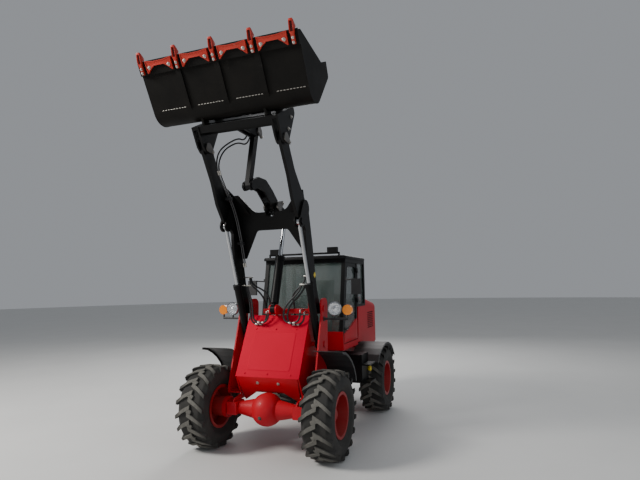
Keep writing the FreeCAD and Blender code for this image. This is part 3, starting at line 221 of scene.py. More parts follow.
def wornCoat(name, shade, bare, amount, dust, rough, metal=0.75, shine=0.3):
    coat = Coat(name)
    mask = dustMask(coat, dust, 6.0)
    scratches = coat.noise(9.0, 8.0, 0.75, coat.stretched((5.0, 1.0, 1.0), (0.3, 0.2, 0.4)))
    blotch = coat.noise(5.0, 5.0, 0.65)
    worn = ((scratches * blotch * 2.4 - (1.0 - amount)) * 5.0).held()
    base = coat.blend(mask, coat.blend(worn, shade, bare), dustShade)
    coat.set(Base_Color=base, Metallic=worn * metal * (1.0 - mask), Specular_IOR_Level=shine,
             Roughness=(rough + blotch * 0.18 + mask * 0.3).held())
    coat.bump(coat.noise(160.0, 3.0) * 0.4 + scratches - worn * 0.5, 0.12, 0.002)
    return coat


def plasticCoat(name, shade, rough, dust=0.5):
    coat = Coat(name)
    mask = dustMask(coat, dust)
    grain = coat.cells(700.0)
    tone = coat.noise(6.0)
    base = coat.blend(mask, coat.blend(tone * 0.5, shade, tuple(a * 1.7 + 0.004 for a in shade)), dustShade)
    coat.set(Base_Color=base, Roughness=(rough + tone * 0.1 + mask * 0.3).held())
    coat.bump(grain, 0.15, 0.0006)
    return coat


# a tyre's shade depends on the distance from its axle, which is one radius above the ground
def tyreCoat(name, x, radius):
    coat = Coat(name)
    fromAxle = coat.stretched((1.0, 0.0, 1.0), centre=(x, 0.0, radius))
    away = coat.node("VectorMath", {"operation": "LENGTH"}, {0: fromAxle}, out="Value")
    tread = ((away - (radius - 0.020)) * 70.0).held()
    groove = ((away - (radius - 0.06)) * 30.0).held()
    grit = coat.noise(38.0, 6.0, 0.7)
    patch = coat.noise(4.5, 4.0, 0.6)
    wall = coat.blend((patch * 1.8 - 0.5).held(), (0.018, 0.018, 0.018), (0.05, 0.047, 0.042))
    rolled = coat.blend((grit * 1.5 - 0.3).held(), (0.105, 0.100, 0.088), (0.175, 0.167, 0.148))
    grooved = coat.blend(groove * 0.5, wall, (0.024, 0.023, 0.021))
    base = coat.blend(tread * (0.72 + grit * 0.3), grooved, rolled)
    outwards = coat.node("CombineXYZ", {}, {0: away})
    rings = coat.node("TexWave", {"bands_direction": "X"}, {"Vector": outwards, "Scale": 28.0})
    coat.set(Base_Color=base, Roughness=(0.72 + patch * 0.2).held(), Specular_IOR_Level=0.35)
    coat.bump(grit * 0.7 + rings * 0.12 * (1.0 - groove) + coat.noise(240.0) * 0.25, 0.32, 0.004)
    return coat


def steelCoat(name, shade, rough, along=(1.0, 1.0, 12.0), metal=1.0, streak=0.12):
    coat = Coat(name)
    lines = coat.noise(60.0, 5.0, 0.7, coat.stretched(along))
    film = coat.noise(7.0, 4.0)
    base = coat.blend(film * 0.5, shade, tuple(a * 0.62 for a in shade))
    coat.set(Base_Color=base, Metallic=metal, Roughness=(rough + lines * streak + film * 0.08).held())
    coat.bump(lines, 0.05, 0.001)
    return coat


def glassCoat(name, shade, clear):
    coat = Coat(name)
    smear = coat.noise(2.6, 6.0, 0.6, coat.stretched((1.0, 1.0, 0.35), (0.3, 0.0, 0.2)))
    dusty = ((0.9 + coat.noise(60.0, 3.0) * 0.6) * (smear * 1.6 - 0.55).held() * 0.18).held()
    coat.set(Base_Color=coat.blend(dusty * 2.0, shade, (0.42, 0.43, 0.4)), Alpha=(clear + dusty).held(),
             Roughness=(0.03 + dusty * 0.5).held(), IOR=1.5, Coat_Weight=0.6)
    coat.bump(coat.noise(1.4, 2.0), 0.03, 0.01)
    return coat


redPaint = paintCoat("redPaint", (0.52, 0.004, 0.017), (0.43, 0.003, 0.011), 0.06, 0.42, 0.05, 0.2)
# brighter, pinker copy of the red paint for the sloped front cover: painted light and sky sheen of its sunlit face, set
# in the base colour while its own gloss is kept low
coverLitPaint = paintCoat("coverLitPaint", (0.60, 0.006, 0.034), (0.54, 0.005, 0.027), 0.04, 0.60, 0.0, 0.06)
rimPaint = paintCoat("rimPaint", (0.34, 0.004, 0.009), (0.24, 0.003, 0.006), 0.25, 0.40, 0.05)
blackPaint = paintCoat("blackPaint", (0.006, 0.006, 0.0063), (0.004, 0.004, 0.0042), 0.05, 0.36, 0.0, 0.14)
bucketPaint = wornCoat("bucketPaint", (0.0035, 0.0034, 0.0033), (0.04, 0.037, 0.034), 0.10, 0.03, 0.42, 0.75, 0.10)
toothPaint = wornCoat("toothPaint", (0.46, 0.022, 0.010), (0.30, 0.20, 0.16), 0.14, 0.08, 0.36)
blackPlastic = plasticCoat("blackPlastic", (0.016, 0.016, 0.017), 0.46)
# much darker copy of the tooth paint for the teeth's pockets: painted shade inside the recess
pocketShadePaint = wornCoat("pocketShadePaint", (0.075, 0.004, 0.004), (0.2, 0.1, 0.08), 0.1, 0.02, 0.5)
darkIron = wornCoat("darkIron", (0.03, 0.03, 0.032), (0.11, 0.075, 0.05), 0.3, 0.5, 0.6, 0.2)
pinSteel = steelCoat("pinSteel", (0.20, 0.19, 0.18), 0.34)
chrome = steelCoat("chrome", (0.50, 0.51, 0.53), 0.09, (1.0, 1.0, 1.0), 1.0, 0.06)
boltSteel = steelCoat("boltSteel", (0.52, 0.50, 0.46), 0.30, (1.0, 1.0, 1.0))
cabGlass = glassCoat("cabGlass", (0.055, 0.085, 0.078), 0.42)
tubeSteel = steelCoat("tubeSteel", (0.13, 0.13, 0.135), 0.30, (1.0, 1.0, 1.0))
rubber = plasticCoat("rubber", (0.011, 0.011, 0.012), 0.42, 0.25)
amberLens = Coat("amberLens")
flute = amberLens.node("TexWave", {"bands_direction": "Y"}, {"Vector": amberLens.place, "Scale": 34.0})
amberLens.set(Base_Color=amberLens.blend(flute * 0.5, (0.85, 0.25, 0.008), (0.6, 0.14, 0.004)),
              Roughness=0.14 + flute * 0.06, Coat_Weight=0.3,
              Emission_Color=(0.9, 0.3, 0.02), Emission_Strength=0.08)
amberLens.bump(flute, 0.4, 0.003)
reflector = Coat("reflector")
facets = reflector.cells(70.0)
reflector.set(Base_Color=reflector.blend((facets * 1.2).held(), (0.86, 0.88, 0.9), (0.45, 0.47, 0.5)),
              Metallic=1.0, Roughness=0.12 + facets * 0.2, Coat_Weight=1.0)
reflector.bump(facets, 0.8, 0.004)
meshBlack = plasticCoat("meshBlack", (0.007, 0.007, 0.008), 0.5, 0.15)
yellowPlastic = plasticCoat("yellowPlastic", (0.62, 0.45, 0.02), 0.4, 0.2)
leatherette = Coat("leatherette")
grain = leatherette.cells(420.0)
wear = leatherette.noise(9.0, 4.0)
leatherette.set(Base_Color=leatherette.blend(wear * 0.6, (0.016, 0.016, 0.018), (0.045, 0.044, 0.044)),
                Roughness=0.48 + wear * 0.2)
leatherette.bump(grain * 0.6 + wear * 0.4, 0.35, 0.002)

# the wheels' places along the machine and their sides
wheelRadius = 0.5375
wheelPlaces = {
    "wheel_front_left": (0.0, 1), "wheel_front_right": (0.0, -1),
    "wheel_rear_left": (-2.49, 1), "wheel_rear_right": (-2.49, -1),
}

# the frame's nodes; those that a piece replaces aren't shown and have no coat
coatOf = {
    redPaint: ["axle_front", "axle_rear", "front_frame", "towers", "hood_top", "hood_sides", "cab_base", "rear_frame"],
    rimPaint: ["rim_front_left", "rim_front_right", "rim_rear_left", "rim_rear_right"],
    blackPaint: ["boom_arm_left", "boom_arm_right", "boom_cross", "rocker", "link", "hitch", "step_boxes",
                 "hood_rear", "lift_barrels", "tilt_barrel", "cab_frame", "door", "roof_rail"],
    blackPlastic: ["fenders_front", "fenders_rear", "headlights", "console", "mirrors"],
    bucketPaint: ["bucket"],
    darkIron: ["tail", "engine"],
    pinSteel: ["hinge_pins", "rocker_pin", "link_pin"],
    chrome: ["lift_rods", "tilt_rod"],
    cabGlass: ["cab_glass", "door_glass"],
    amberLens: ["signals"],
}


def dress(piece, coat):
    piece.data.materials.clear()
    piece.data.materials.append(coat.material)


for coat, names in coatOf.items():
    for name in names:
        dress(nodes[name], coat)
tyreCoats = {}
for body, place in wheelPlaces.items():
    tyre = body.replace("wheel", "tyre")
    tyreCoats[body] = tyreCoat(tyre + "Rubber", machineX(place[0]), wheelRadius)
    dress(nodes[tyre], tyreCoats[body])
print("materials given to the frame")


# a primitive that has just been added stands alone, selected and named
def started(name):
    piece = bpy.context.object
    piece.name = name
    return piece


def begin():
    if bpy.context.object and bpy.context.object.mode == "EDIT":
        bpy.ops.object.mode_set(mode="OBJECT")
    bpy.ops.object.select_all(action="DESELECT")


def hold(pieces):
    begin()
    for piece in pieces:
        piece.select_set(True)
    bpy.context.view_layer.objects.active = pieces[0]


def bake(piece):
    hold([piece])
    bpy.ops.object.transform_apply(location=True, rotation=True, scale=True)
    return piece


def merge(name, pieces):
    hold(pieces)
    if len(pieces) > 1:
        bpy.ops.object.join()
    return started(name)


def discard(model):
    bpy.data.objects.remove(model, do_unlink=True)


# copies of a model, each with its own mesh
def copies(model, places):
    made = []
    for place in places:
        copy = model.copy()
        copy.data = model.data.copy()
        bpy.context.scene.collection.objects.link(copy)
        copy.matrix_world = place
        made.append(copy)
    return made


def settle(piece, coat, body, smooth=None):
    hold([piece])
    for modifier in list(piece.modifiers):
        bpy.ops.object.modifier_apply(modifier=modifier.name)
    bpy.ops.object.transform_apply(location=True, rotation=True, scale=True)
    if smooth:
        bpy.ops.object.shade_smooth_by_angle(angle=math.radians(smooth))
    if coat:
        dress(piece, coat)
    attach(piece, body)
    return piece


# one model is repeated at (place, direction, size)
def spread(model, name, spots, coat, body):
    places = []
    for place, aim, size in spots:
        turn = Vector(aim).to_track_quat("Z", "Y").to_matrix().to_4x4()
        places.append(Matrix.Translation(place) @ turn @ Matrix.Scale(size, 4))
    return settle(merge(name, copies(model, places)), coat, body, 35)


# the same spot on both sides of the machine, with its direction outwards
def bothSides(x, y, z, size):
    return [(spot(x, side * y, z), (0, side, 0), size) for side in (-1, 1)]


# faces are selected by their middle and their normal
def pick(piece, test):
    bpy.ops.object.mode_set(mode="EDIT")
    bpy.ops.mesh.select_mode(type="FACE")
    mesh = bmesh.from_edit_mesh(piece.data)
    for face in mesh.faces:
        face.select_set(test(face.calc_center_median(), face.normal))
    bmesh.update_edit_mesh(piece.data)


def editAll():
    bpy.ops.object.mode_set(mode="EDIT")
    bpy.ops.mesh.select_all(action="SELECT")


def extrude(distance):
    bpy.ops.mesh.extrude_region_shrink_fatten(TRANSFORM_OT_shrink_fatten={"value": distance})


def pull(*step):
    bpy.ops.mesh.extrude_region_move(TRANSFORM_OT_translate={"value": step})


def faceOut():
    bpy.ops.mesh.select_all(action="SELECT")
    bpy.ops.mesh.normals_make_consistent(inside=False)
    bpy.ops.object.mode_set(mode="OBJECT")


# a cut through the whole piece; what lies beyond it goes when trimmed
def cutThrough(piece, at, outwards, trimmed=False):
    pick(piece, lambda at, normal: True)
    bpy.ops.mesh.bisect(plane_co=at, plane_no=outwards, clear_outer=trimmed, use_fill=trimmed)
    bpy.ops.object.mode_set(mode="OBJECT")


def rounded(piece, width, angle=30):
    edge = piece.modifiers.new("edge", "BEVEL")
    edge.width, edge.segments, edge.limit_method, edge.angle_limit = width, 2, "ANGLE", math.radians(angle)


def sheet(name, long, wide, at=(0, 0, 0), turn=(0, 0, 0)):
    begin()
    bpy.ops.mesh.primitive_plane_add(size=1.0, rotation=turn, location=at)
    piece = started(name)
    piece.scale = (long, wide, 1.0)
    return bake(piece)


def cube(name, size, at=(0, 0, 0)):
    begin()
    bpy.ops.mesh.primitive_cube_add(size=1.0, location=at, scale=size)
    return bake(started(name))


# size and middle of the room between two corners
def room(low, high):
    return tuple(b - a for a, b in zip(low, high)), tuple(0.5 * (a + b) for a, b in zip(low, high))


def block(name, low, high, width=0.003):
    piece = cube(name, *room(low, high))
    rounded(piece, width)
    bpy.ops.object.modifier_apply(modifier="edge")
    return piece


# a block between its ends along the machine, across and up
def bar(name, x, y, z):
    return block(name, spot(x[0], min(y), z[0]), spot(x[1], max(y), z[1]))


# a bar along X whose rectangle changes from station to station: (x, half width, low, high)
def loft(name, stations):
    x, half, low, high = stations[0]
    piece = sheet(name, high - low, 2 * half, (x, 0, 0.5 * (low + high)), (0, math.pi / 2, 0))
    editAll()
    for nextX, nextHalf, nextLow, nextHigh in stations[1:]:
        pull(nextX - x, 0, 0.5 * (nextLow + nextHigh - low - high))
        bpy.ops.transform.resize(value=(1.0, nextHalf / half, (nextHigh - nextLow) / (high - low)),
                                 center_override=(nextX, 0, 0.5 * (nextLow + nextHigh)))
        x, half, low, high = nextX, nextHalf, nextLow, nextHigh
    faceOut()
    return piece


# a turned model along Z: a ring is extruded and resized from station to station
def turned(name, stations, steps):
    begin()
    low, radius = stations[0]
    bpy.ops.mesh.primitive_circle_add(vertices=steps, radius=radius, fill_type="NGON", location=(0, 0, low))
    piece = bake(started(name))
    editAll()
    for height, wide in stations[1:]:
        pull(0, 0, height - low)
        bpy.ops.transform.resize(value=(wide / radius, wide / radius, 1.0), center_override=(0, 0, height))
        low, radius = height, wide
    faceOut()
    return piece


# round pipes through lists of points
def pipes(name, routes, radius):
    lines = []
    for route in routes:
        curve = bpy.data.curves.new(name, "CURVE")
        curve.dimensions, curve.bevel_depth, curve.use_fill_caps = "3D", radius, True
        curve.bevel_resolution, curve.resolution_u = 4, 10
        line = curve.splines.new("NURBS")
        line.points.add(len(route) - 1)
        for point, place in zip(line.points, route):
            point.co = (*spot(*place), 1.0)
        line.order_u = 3
        line.use_endpoint_u = True
        pipe = bpy.data.objects.new(name, curve)
        bpy.context.scene.collection.objects.link(pipe)
        lines.append(pipe)
    hold(lines)
    bpy.ops.object.convert(target="MESH")
    if len(lines) > 1:
        bpy.ops.object.join()
    piece = started(name)
    bpy.ops.object.shade_smooth()
    return piece


# fasteners
fastener = {"head": 0.011, "height": 0.008, "rim": 0.002, "dome": 0.0012,
            "washer": 0.017, "thick": 0.003, "edge": 0.0006}


def boltModel():
    wide, thick = fastener["washer"], fastener["thick"]
    begin()
    bpy.ops.mesh.primitive_cylinder_add(vertices=6, radius=fastener["head"], depth=fastener["height"],
                                        location=(0, 0, thick + 0.5 * fastener["height"]))
    head = started("boltHead")
    pick(head, lambda at, normal: normal.z > 0.9)
    bpy.ops.mesh.inset(thickness=fastener["rim"])
    bpy.ops.transform.translate(value=(0, 0, fastener["dome"]))
    bpy.ops.object.mode_set(mode="OBJECT")
    washer = turned("washer", [(0.0, wide), (thick - fastener["edge"], wide), (thick, 0.9 * wide)], 16)
    return bake(merge("boltHead", [head, washer]))


bolt = boltModel()


def onLine(a, b, share):
    return (machineX(a[0] + (b[0] - a[0]) * share), a[1] + (b[1] - a[1]) * share)


cover = {
    "top": (-0.381, 1.721), "low": (0.027, 0.943), "apronLow": (-0.155, 0.606),
    "coverDown": (0.4644, 0.0, -0.8856), "coverOut": (0.8856, 0.0, 0.4644),
    "apronDown": (-0.475, 0.0, -0.880), "apronOut": (0.880, 0.0, -0.475),
    "rows": ((0.235, (-0.30, 0.0, 0.30)), (0.945, (-0.33, 0.0, 0.33))), "bolt": 0.9,
    "apronRow": (0.24, (-0.15, 0.15)), "apronBolt": 1.35,
}
spots = []
for share, places in cover["rows"]:
    x, z = onLine(cover["top"], cover["low"], share)
    spots += [((x, y, z), cover["coverOut"], cover["bolt"]) for y in places]
# the cover's bolts take the same lit copy of the red paint, with its painted light
spread(bolt, "coverBolts", spots, coverLitPaint, "chassis_front")
share, places = cover["apronRow"]
x, z = onLine(cover["low"], cover["apronLow"], share)
spots = [((x, y, z), cover["apronOut"], cover["apronBolt"]) for y in places]
spread(bolt, "apronBolts", spots, boltSteel, "chassis_front")

# fill plug on the front axle's round case
plug = {"place": (0.1990, -0.0105, 0.4727), "aim": (0.95, -0.05, -0.31), "size": 1.5}
spread(bolt, "axlePlug", [(spot(*plug["place"]), plug["aim"], plug["size"])], darkIron, "chassis_front")

# wheel nuts on the discs
nuts = {"count": 10, "ring": 0.158, "disc": 0.842, "size": 1.7}
for body, (x, side) in wheelPlaces.items():
    spots = []
    for i in range(nuts["count"]):
        a = 2 * math.pi * (i + 0.5) / nuts["count"]
        place = spot(x + nuts["ring"] * math.sin(a), side * nuts["disc"], wheelRadius + nuts["ring"] * math.cos(a))
        spots.append((place, (0, side, 0), nuts["size"]))
    spread(bolt, body + "_nuts", spots, darkIron, body)

# slanted blocks along the middle of each tyre's tread
tread = {"count": 18, "shift": 0.27, "low": 0.494, "high": 0.5335, "half": (0.026, 0.046), "round": 0.006,
         "slant": 24.0, "centre": 0.850}
u, v = tread["half"]
treadBlock = block("treadModel", (-u, -v, tread["low"]), (u, v, tread["high"]), tread["round"])
for body, (x, side) in wheelPlaces.items():
    hub = Matrix.Translation(spot(x, side * tread["centre"], wheelRadius))
    slant = Matrix.Rotation(side * math.radians(tread["slant"]), 4, "Z")
    places = []
    for i in range(tread["count"]):
        places.append(hub @ Matrix.Rotation(2 * math.pi * (i + tread["shift"]) / tread["count"], 4, "Y") @ slant)
    settle(merge(body + "_treadBlocks", copies(treadBlock, places)), tyreCoats[body], body, 40)
discard(treadBlock)

# bucket frame: u along the floor, y across, v up from the floor
bucketPin = (machineX(0.622), 3.899)
floorTurn = math.radians(61.0)
cu, su = math.cos(floorTurn), math.sin(floorTurn)
along, over = Vector((cu, 0, su)), Vector((-su, 0, cu))
bucketTurn = Matrix((along, Vector((0, 1, 0)), over)).transposed().to_4x4()


def inBucket(u, y, v):
    return (bucketPin[0] + u * cu - v * su, y, bucketPin[1] + u * su + v * cu)


def inBucketPlace(u, y, v):
    return Matrix.Translation(inBucket(u, y, v)) @ bucketTurn


bite = {
    "teeth": 5, "reach": 0.990, "low": -0.1453, "bolts": (1.010, 1.058), "boltDrop": 0.0312, "bolt": 0.95,
    "u": 1.100, "long": 0.054, "waist": 0.070, "thick": 0.022, "rim": 0.010, "field": 0.004,
    # a wear piece's ears: distance sideways, back and front
    "ears": ((0.128, 1.034, 1.134), (0.168, 0.998, 1.140), (0.180, 0.997, 1.1415)),
    "earBolt": (1.058, 0.137), "earDrop": 0.018, "bigBolt": 1.3,
}
tooth = [
    # u, half width, low and high v
    (0.990, 0.013, -0.162, -0.1456), (0.998, 0.018, -0.173, -0.1456), (1.088, 0.0195, -0.177, -0.1456),
    (1.112, 0.026, -0.179, -0.1456), (1.1445, 0.027, -0.1793, -0.1456), (1.1455, 0.027, -0.1793, -0.112),
    (1.168, 0.027, -0.1745, -0.096), (1.232, 0.0235, -0.1600, -0.128), (1.249, 0.0205, -0.1565, -0.142),
]
pocket = {"u": (1.12, 1.24), "rim": 0.0065, "deep": 0.016, "taper": (0.97, 0.8, 1.0)}
toothPlaces = [-bite["reach"] + 2 * bite["reach"] * i / (bite["teeth"] - 1) for i in range(bite["teeth"])]
bays = [0.5 * (left + right) for left, right in zip(toothPlaces, toothPlaces[1:])]


def toothModel():
    model = loft("toothModel", tooth)
    pick(model, lambda at, normal: normal.z < -0.5 and pocket["u"][0] < at.x < pocket["u"][1])
    bpy.ops.mesh.inset(thickness=pocket["rim"])
    pull(0, 0, pocket["deep"])
    bpy.ops.transform.resize(value=pocket["taper"])
    # the pocket's faces take the dark copy of the tooth paint: painted shade in the recess
    model.data.materials.append(toothPaint.material)
    model.data.materials.append(pocketShadePaint.material)
    mesh = bmesh.from_edit_mesh(model.data)
    for face in mesh.faces:
        face.material_index = 1 if face.select else 0
    bmesh.update_edit_mesh(model.data)
    bpy.ops.object.mode_set(mode="OBJECT")
    rounded(model, 0.002)
    return model


model = toothModel()
teeth = merge("bucketTeeth", copies(model, [inBucketPlace(0, y, 0) for y in toothPlaces]))
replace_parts(settle(teeth, None, "tool", 40), "teeth")
discard(model)


# bow-tie wear piece: narrow waist, ears that reach back under the floor, sunk field
def wearModel():
    model = sheet("wearModel", bite["long"], 2 * bite["waist"], (bite["u"], 0, 0))
    for side in (-1, 1):
        bpy.ops.object.mode_set(mode="EDIT")
        bpy.ops.mesh.select_mode(type="EDGE")
        mesh = bmesh.from_edit_mesh(model.data)
        for edge in mesh.edges:
            middle = 0.5 * (edge.verts[0].co + edge.verts[1].co)
            edge.select_set(side * middle.y > bite["waist"] - 0.001)
        bmesh.update_edit_mesh(model.data)
        for far, low, high in bite["ears"]:
            bpy.ops.mesh.extrude_edges_move(TRANSFORM_OT_translate={"value": (0, 0, 0)})
            mesh = bmesh.from_edit_mesh(model.data)
            ends = sorted((v for v in mesh.verts if v.select), key=lambda v: v.co.x)
            ends[0].co, ends[1].co = Vector((low, side * far, 0)), Vector((high, side * far, 0))
            bmesh.update_edit_mesh(model.data)
        bpy.ops.object.mode_set(mode="OBJECT")
    editAll()
    bpy.ops.mesh.normals_make_consistent(inside=False)
    pull(0, 0, -bite["thick"])
    bpy.ops.mesh.inset(thickness=bite["rim"])
    pull(0, 0, bite["field"])
    faceOut()
    rounded(model, 0.002)
    return model


model = wearModel()
wear = merge("edgeWear", copies(model, [inBucketPlace(0, middle, bite["low"]) for middle in bays]))
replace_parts(settle(wear, toothPaint, "tool", 40), "edge_segments")
discard(model)
spots = []
for y in toothPlaces:
    spots += [(inBucket(u, y, bite["low"] - bite["boltDrop"]), -over, bite["bolt"]) for u in bite["bolts"]]
u, aside = bite["earBolt"]
for middle in bays:
    for side in (-1, 1):
        spots.append((inBucket(u, middle + side * aside, bite["low"] - bite["earDrop"]), -over, bite["bigBolt"]))
spread(bolt, "edgeBolts", spots, boltSteel, "tool")

# weld beads under the bucket's floor, between its wear strips
bead = {
    "u": 0.545, "v": -0.1202, "bays": (-1.045, -0.522, 0.0, 0.522, 1.045), "margins": (0.150, 0.050), "count": 9,
    "stations": [(-0.004, 0.009, -0.003, 0.0015), (-0.0025, 0.013, -0.0045, 0.0015),
                 (0.0025, 0.013, -0.0045, 0.0015), (0.004, 0.009, -0.003, 0.0015)],
}
model = loft("beadModel", bead["stations"])
places = []
for left, right in zip(bead["bays"], bead["bays"][1:]):
    for i in range(bead["count"]):
        y = left + bead["margins"][0] + (right - left - sum(bead["margins"])) * i / (bead["count"] - 1)
        places.append(inBucketPlace(bead["u"], y, bead["v"]))
settle(merge("floorWelds", copies(model, places)), boltSteel, "tool", 40)
discard(model)

# bolts of the pins' keeper flags; the bucket pins have theirs on both faces of each eye
eye = {"place": (0.536, 3.859), "faces": ((0.473, -1), (0.607, 1)), "bolt": 1.2}
x, z = eye["place"]
spots = [(spot(x, side * y, z), (0, side * out, 0), eye["bolt"]) for side in (-1, 1) for y, out in eye["faces"]]
for body, name, spots in (
    ("bucket_hinge", "bucketPinBolts", spots),
    ("rocker_hinge", "rockerPinBolts", bothSides(-0.3146, 0.111, 3.2805, 1.3)),
    ("link_hinge", "linkPinBolts", bothSides(0.2392, 0.075, 4.0764, 1.1)),
):
    spread(bolt, name, spots, boltSteel, body)
print("fasteners set")


# headlights: bezel ring, and a face with its bowl and bulb
lamp = {
    "place": (-0.464, 0.790, 1.808), "gap": 0.0003, "steps": 40,
    "bezel": [(0.0, 0.0845), (0.0, 0.097), (0.006, 0.0975), (0.010, 0.093), (0.010, 0.088), (0.006, 0.0848),
              (0.0, 0.0845)],
    "face": [(0.0, 0.0835), (0.0078, 0.0835), (0.0084, 0.080), (0.0022, 0.055), (0.0030, 0.030), (0.0075, 0.014),
             (0.0082, 0.004)],
}
x, y, z = lamp["place"]
bezel = turned("bezelModel", lamp["bezel"], lamp["steps"])
for side, end in ((-1, "right"), (1, "left")):
    spots = [(spot(x, side * y, z), (1, 0, 0), 1.0)]
    spread(bezel, "lampBezel_" + end, spots, chrome, "chassis_front")
discard(bezel)
face = turned("lampFaceModel", lamp["face"], lamp["steps"])
spots = [(spot(x + lamp["gap"], side * y, z), (1, 0, 0), 1.0) for side in (-1, 1)]
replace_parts(spread(face, "lampFaces", spots, reflector, "chassis_front"), "headlight_lenses")
discard(face)
print("lamps set")


# front cover: sloped plate with its pressed field, and the arched apron under it
plates = {
    "coverLong": 0.8785, "coverHalf": 0.460, "coverThick": 0.012, "coverEdge": 0.0022,
    "field": (0.28, 0.90), "fieldHalf": 0.315, "fieldHigh": 0.0065, "fieldSunk": 0.0002, "fieldCorner": 0.032,
    "fieldTaper": (0.968, 0.972, 1.0), "fieldEdge": 0.003,
    "apronLong": 0.383, "apronHalf": 0.440, "apronLowHalf": 0.402, "apronThick": 0.014,
    "archTop": 0.228, "archHalf": 0.178, "footHalf": 0.388, "footLong": 0.377,
}


def coverPlate():
    long, half, thick = plates["coverLong"], plates["coverHalf"], plates["coverThick"]
    plate = cube("coverPlate", (long, 2 * half, thick), (0.5 * long, 0, -0.5 * thick))
    editAll()
    bpy.ops.mesh.bevel(offset=plates["coverEdge"], segments=2)
    low, high = plates["field"]
    field = sheet("field", (high - low) * long, 2 * plates["fieldHalf"],
                  (0.5 * (low + high) * long, 0, -plates["fieldSunk"]))
    editAll()
    bpy.ops.mesh.bevel(affect="VERTICES", offset=plates["fieldCorner"], segments=6)
    bpy.ops.mesh.select_all(action="SELECT")
    pull(0, 0, plates["fieldHigh"])
    bpy.ops.transform.resize(value=plates["fieldTaper"])
    bpy.ops.mesh.bevel(offset=plates["fieldEdge"], segments=3)
    return merge("coverPlate", [plate, field])


# the faces that pass the test are cut off beyond a plane, apart from their neighbours
def cutAway(piece, test, at, outwards):
    pick(piece, test)
    bpy.ops.mesh.split()
    bpy.ops.mesh.bisect(plane_co=at, plane_no=outwards, clear_outer=True, use_fill=False)
    bpy.ops.object.mode_set(mode="OBJECT")


def apronPlate():
    long, half, thick = plates["apronLong"], plates["apronHalf"], plates["apronThick"]
    arch, top, lowHalf = plates["archHalf"], plates["archTop"], plates["apronLowHalf"]
    plate = sheet("apronPlate", long, 2 * half, (0.5 * long, 0, 0))
    for y in (-arch, arch):
        cutThrough(plate, (0, y, 0), (0, 1, 0))
    cutAway(plate, lambda at, normal: abs(at.y) < arch, (top, 0, 0), (1, 0, 0))
    for side in (-1, 1):
        rise = Vector((plates["footLong"] - top, side * (plates["footHalf"] - arch), 0)).normalized()
        edge = Vector((long, side * (lowHalf - half), 0)).normalized()
        for at, line in (((top, side * arch, 0), rise), ((0, side * half, 0), -edge)):
            cutAway(plate, lambda at, normal: side * at.y > arch, at, (line.y * side, -line.x * side, 0))
    editAll()
    bpy.ops.mesh.remove_doubles(threshold=0.0002)
    faceOut()
    wall = plate.modifiers.new("wall", "SOLIDIFY")
    wall.thickness, wall.offset = thick, -1.0 if plate.data.polygons[0].normal.z > 0 else 1.0
    rounded(plate, 0.002)
    for modifier in list(plate.modifiers):
        bpy.ops.object.modifier_apply(modifier=modifier.name)
    return plate


def sloped(piece, corner, down, outwards, coat):
    down, outwards = Vector(down), Vector(outwards)
    turn = Matrix((down, outwards.cross(down), outwards)).transposed().to_4x4()
    piece.matrix_world = Matrix.Translation(spot(corner[0], 0, corner[1])) @ turn
    dress(bake(piece), coat)
    return piece


# the cover plate takes the lit copy of the red paint, with painted light and sheen; the apron keeps the plain red
plate = sloped(coverPlate(), cover["top"], cover["coverDown"], cover["coverOut"], coverLitPaint)
apron = sloped(apronPlate(), cover["low"], cover["apronDown"], cover["apronOut"], redPaint)
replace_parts(settle(merge("frontCover", [plate, apron]), None, "chassis_front", 30), "front_panel")
print("front cover made")


# wire grilles behind the hood's louvres
grille = {
    "bars": 26, "wire": 0.0032, "x": (-3.50, -3.00), "z": (1.29, 1.64), "y": 0.548, "shade": (0.505, 0.525),
    "rearX": -3.536, "rearWide": 0.76, "rearZ": (1.13, 1.70),
}
standing = Matrix.Rotation(math.pi / 2, 4, "X")


def wireNet(name, long, high, at, turn):
    begin()
    bpy.ops.mesh.primitive_grid_add(x_subdivisions=grille["bars"], y_subdivisions=grille["bars"], size=1.0)
    net = started(name)
    net.scale = (long, high, 1.0)
    bake(net)
    wires = net.modifiers.new("wires", "WIREFRAME")
    wires.thickness = grille["wire"]
    bpy.ops.object.modifier_apply(modifier="wires")
    net.matrix_world = Matrix.Translation(at) @ turn
    settle(net, meshBlack, "chassis_rear")


(x0, x1), (z0, z1) = grille["x"], grille["z"]
for side, end in ((-1, "right"), (1, "left")):
    at = spot(0.5 * (x0 + x1), side * grille["y"], 0.5 * (z0 + z1))
    wireNet("hoodNet_" + end, x1 - x0, z1 - z0, at, standing)
low, high = grille["rearZ"]
wireNet("rearNet", grille["rearWide"], high - low, spot(grille["rearX"], 0, 0.5 * (low + high)),
        Matrix.Rotation(math.pi / 2, 4, "Z") @ standing)
shades = [bar("netShade", grille["x"], [side * y for y in grille["shade"]], grille["z"]) for side in (-1, 1)]
settle(merge("netShades", shades), meshBlack, "chassis_rear", 40)
print("grilles set")


# operator's seat: stuffed cushion and back on their box
seat = {
    "x": -2.150, "z": 1.560, "deep": 0.47, "wide": 0.50, "thick": 0.12,
    "backX": -2.155, "backHigh": 0.56, "backWide": 0.46, "backThick": 0.10, "backGap": 0.004, "backLean": -9.0,
    "voxel": 0.006, "frames": 20, "pressure": 4.0, "cap": 0.016, "shrink": 0.014, "corner": 0.030,
    "box": (-1.930, 0, 1.384), "boxSize": (0.38, 0.36, 0.345), "boxCuts": (1.26, 1.32, 1.38, 1.44, 1.50), "fold": 0.018,
}


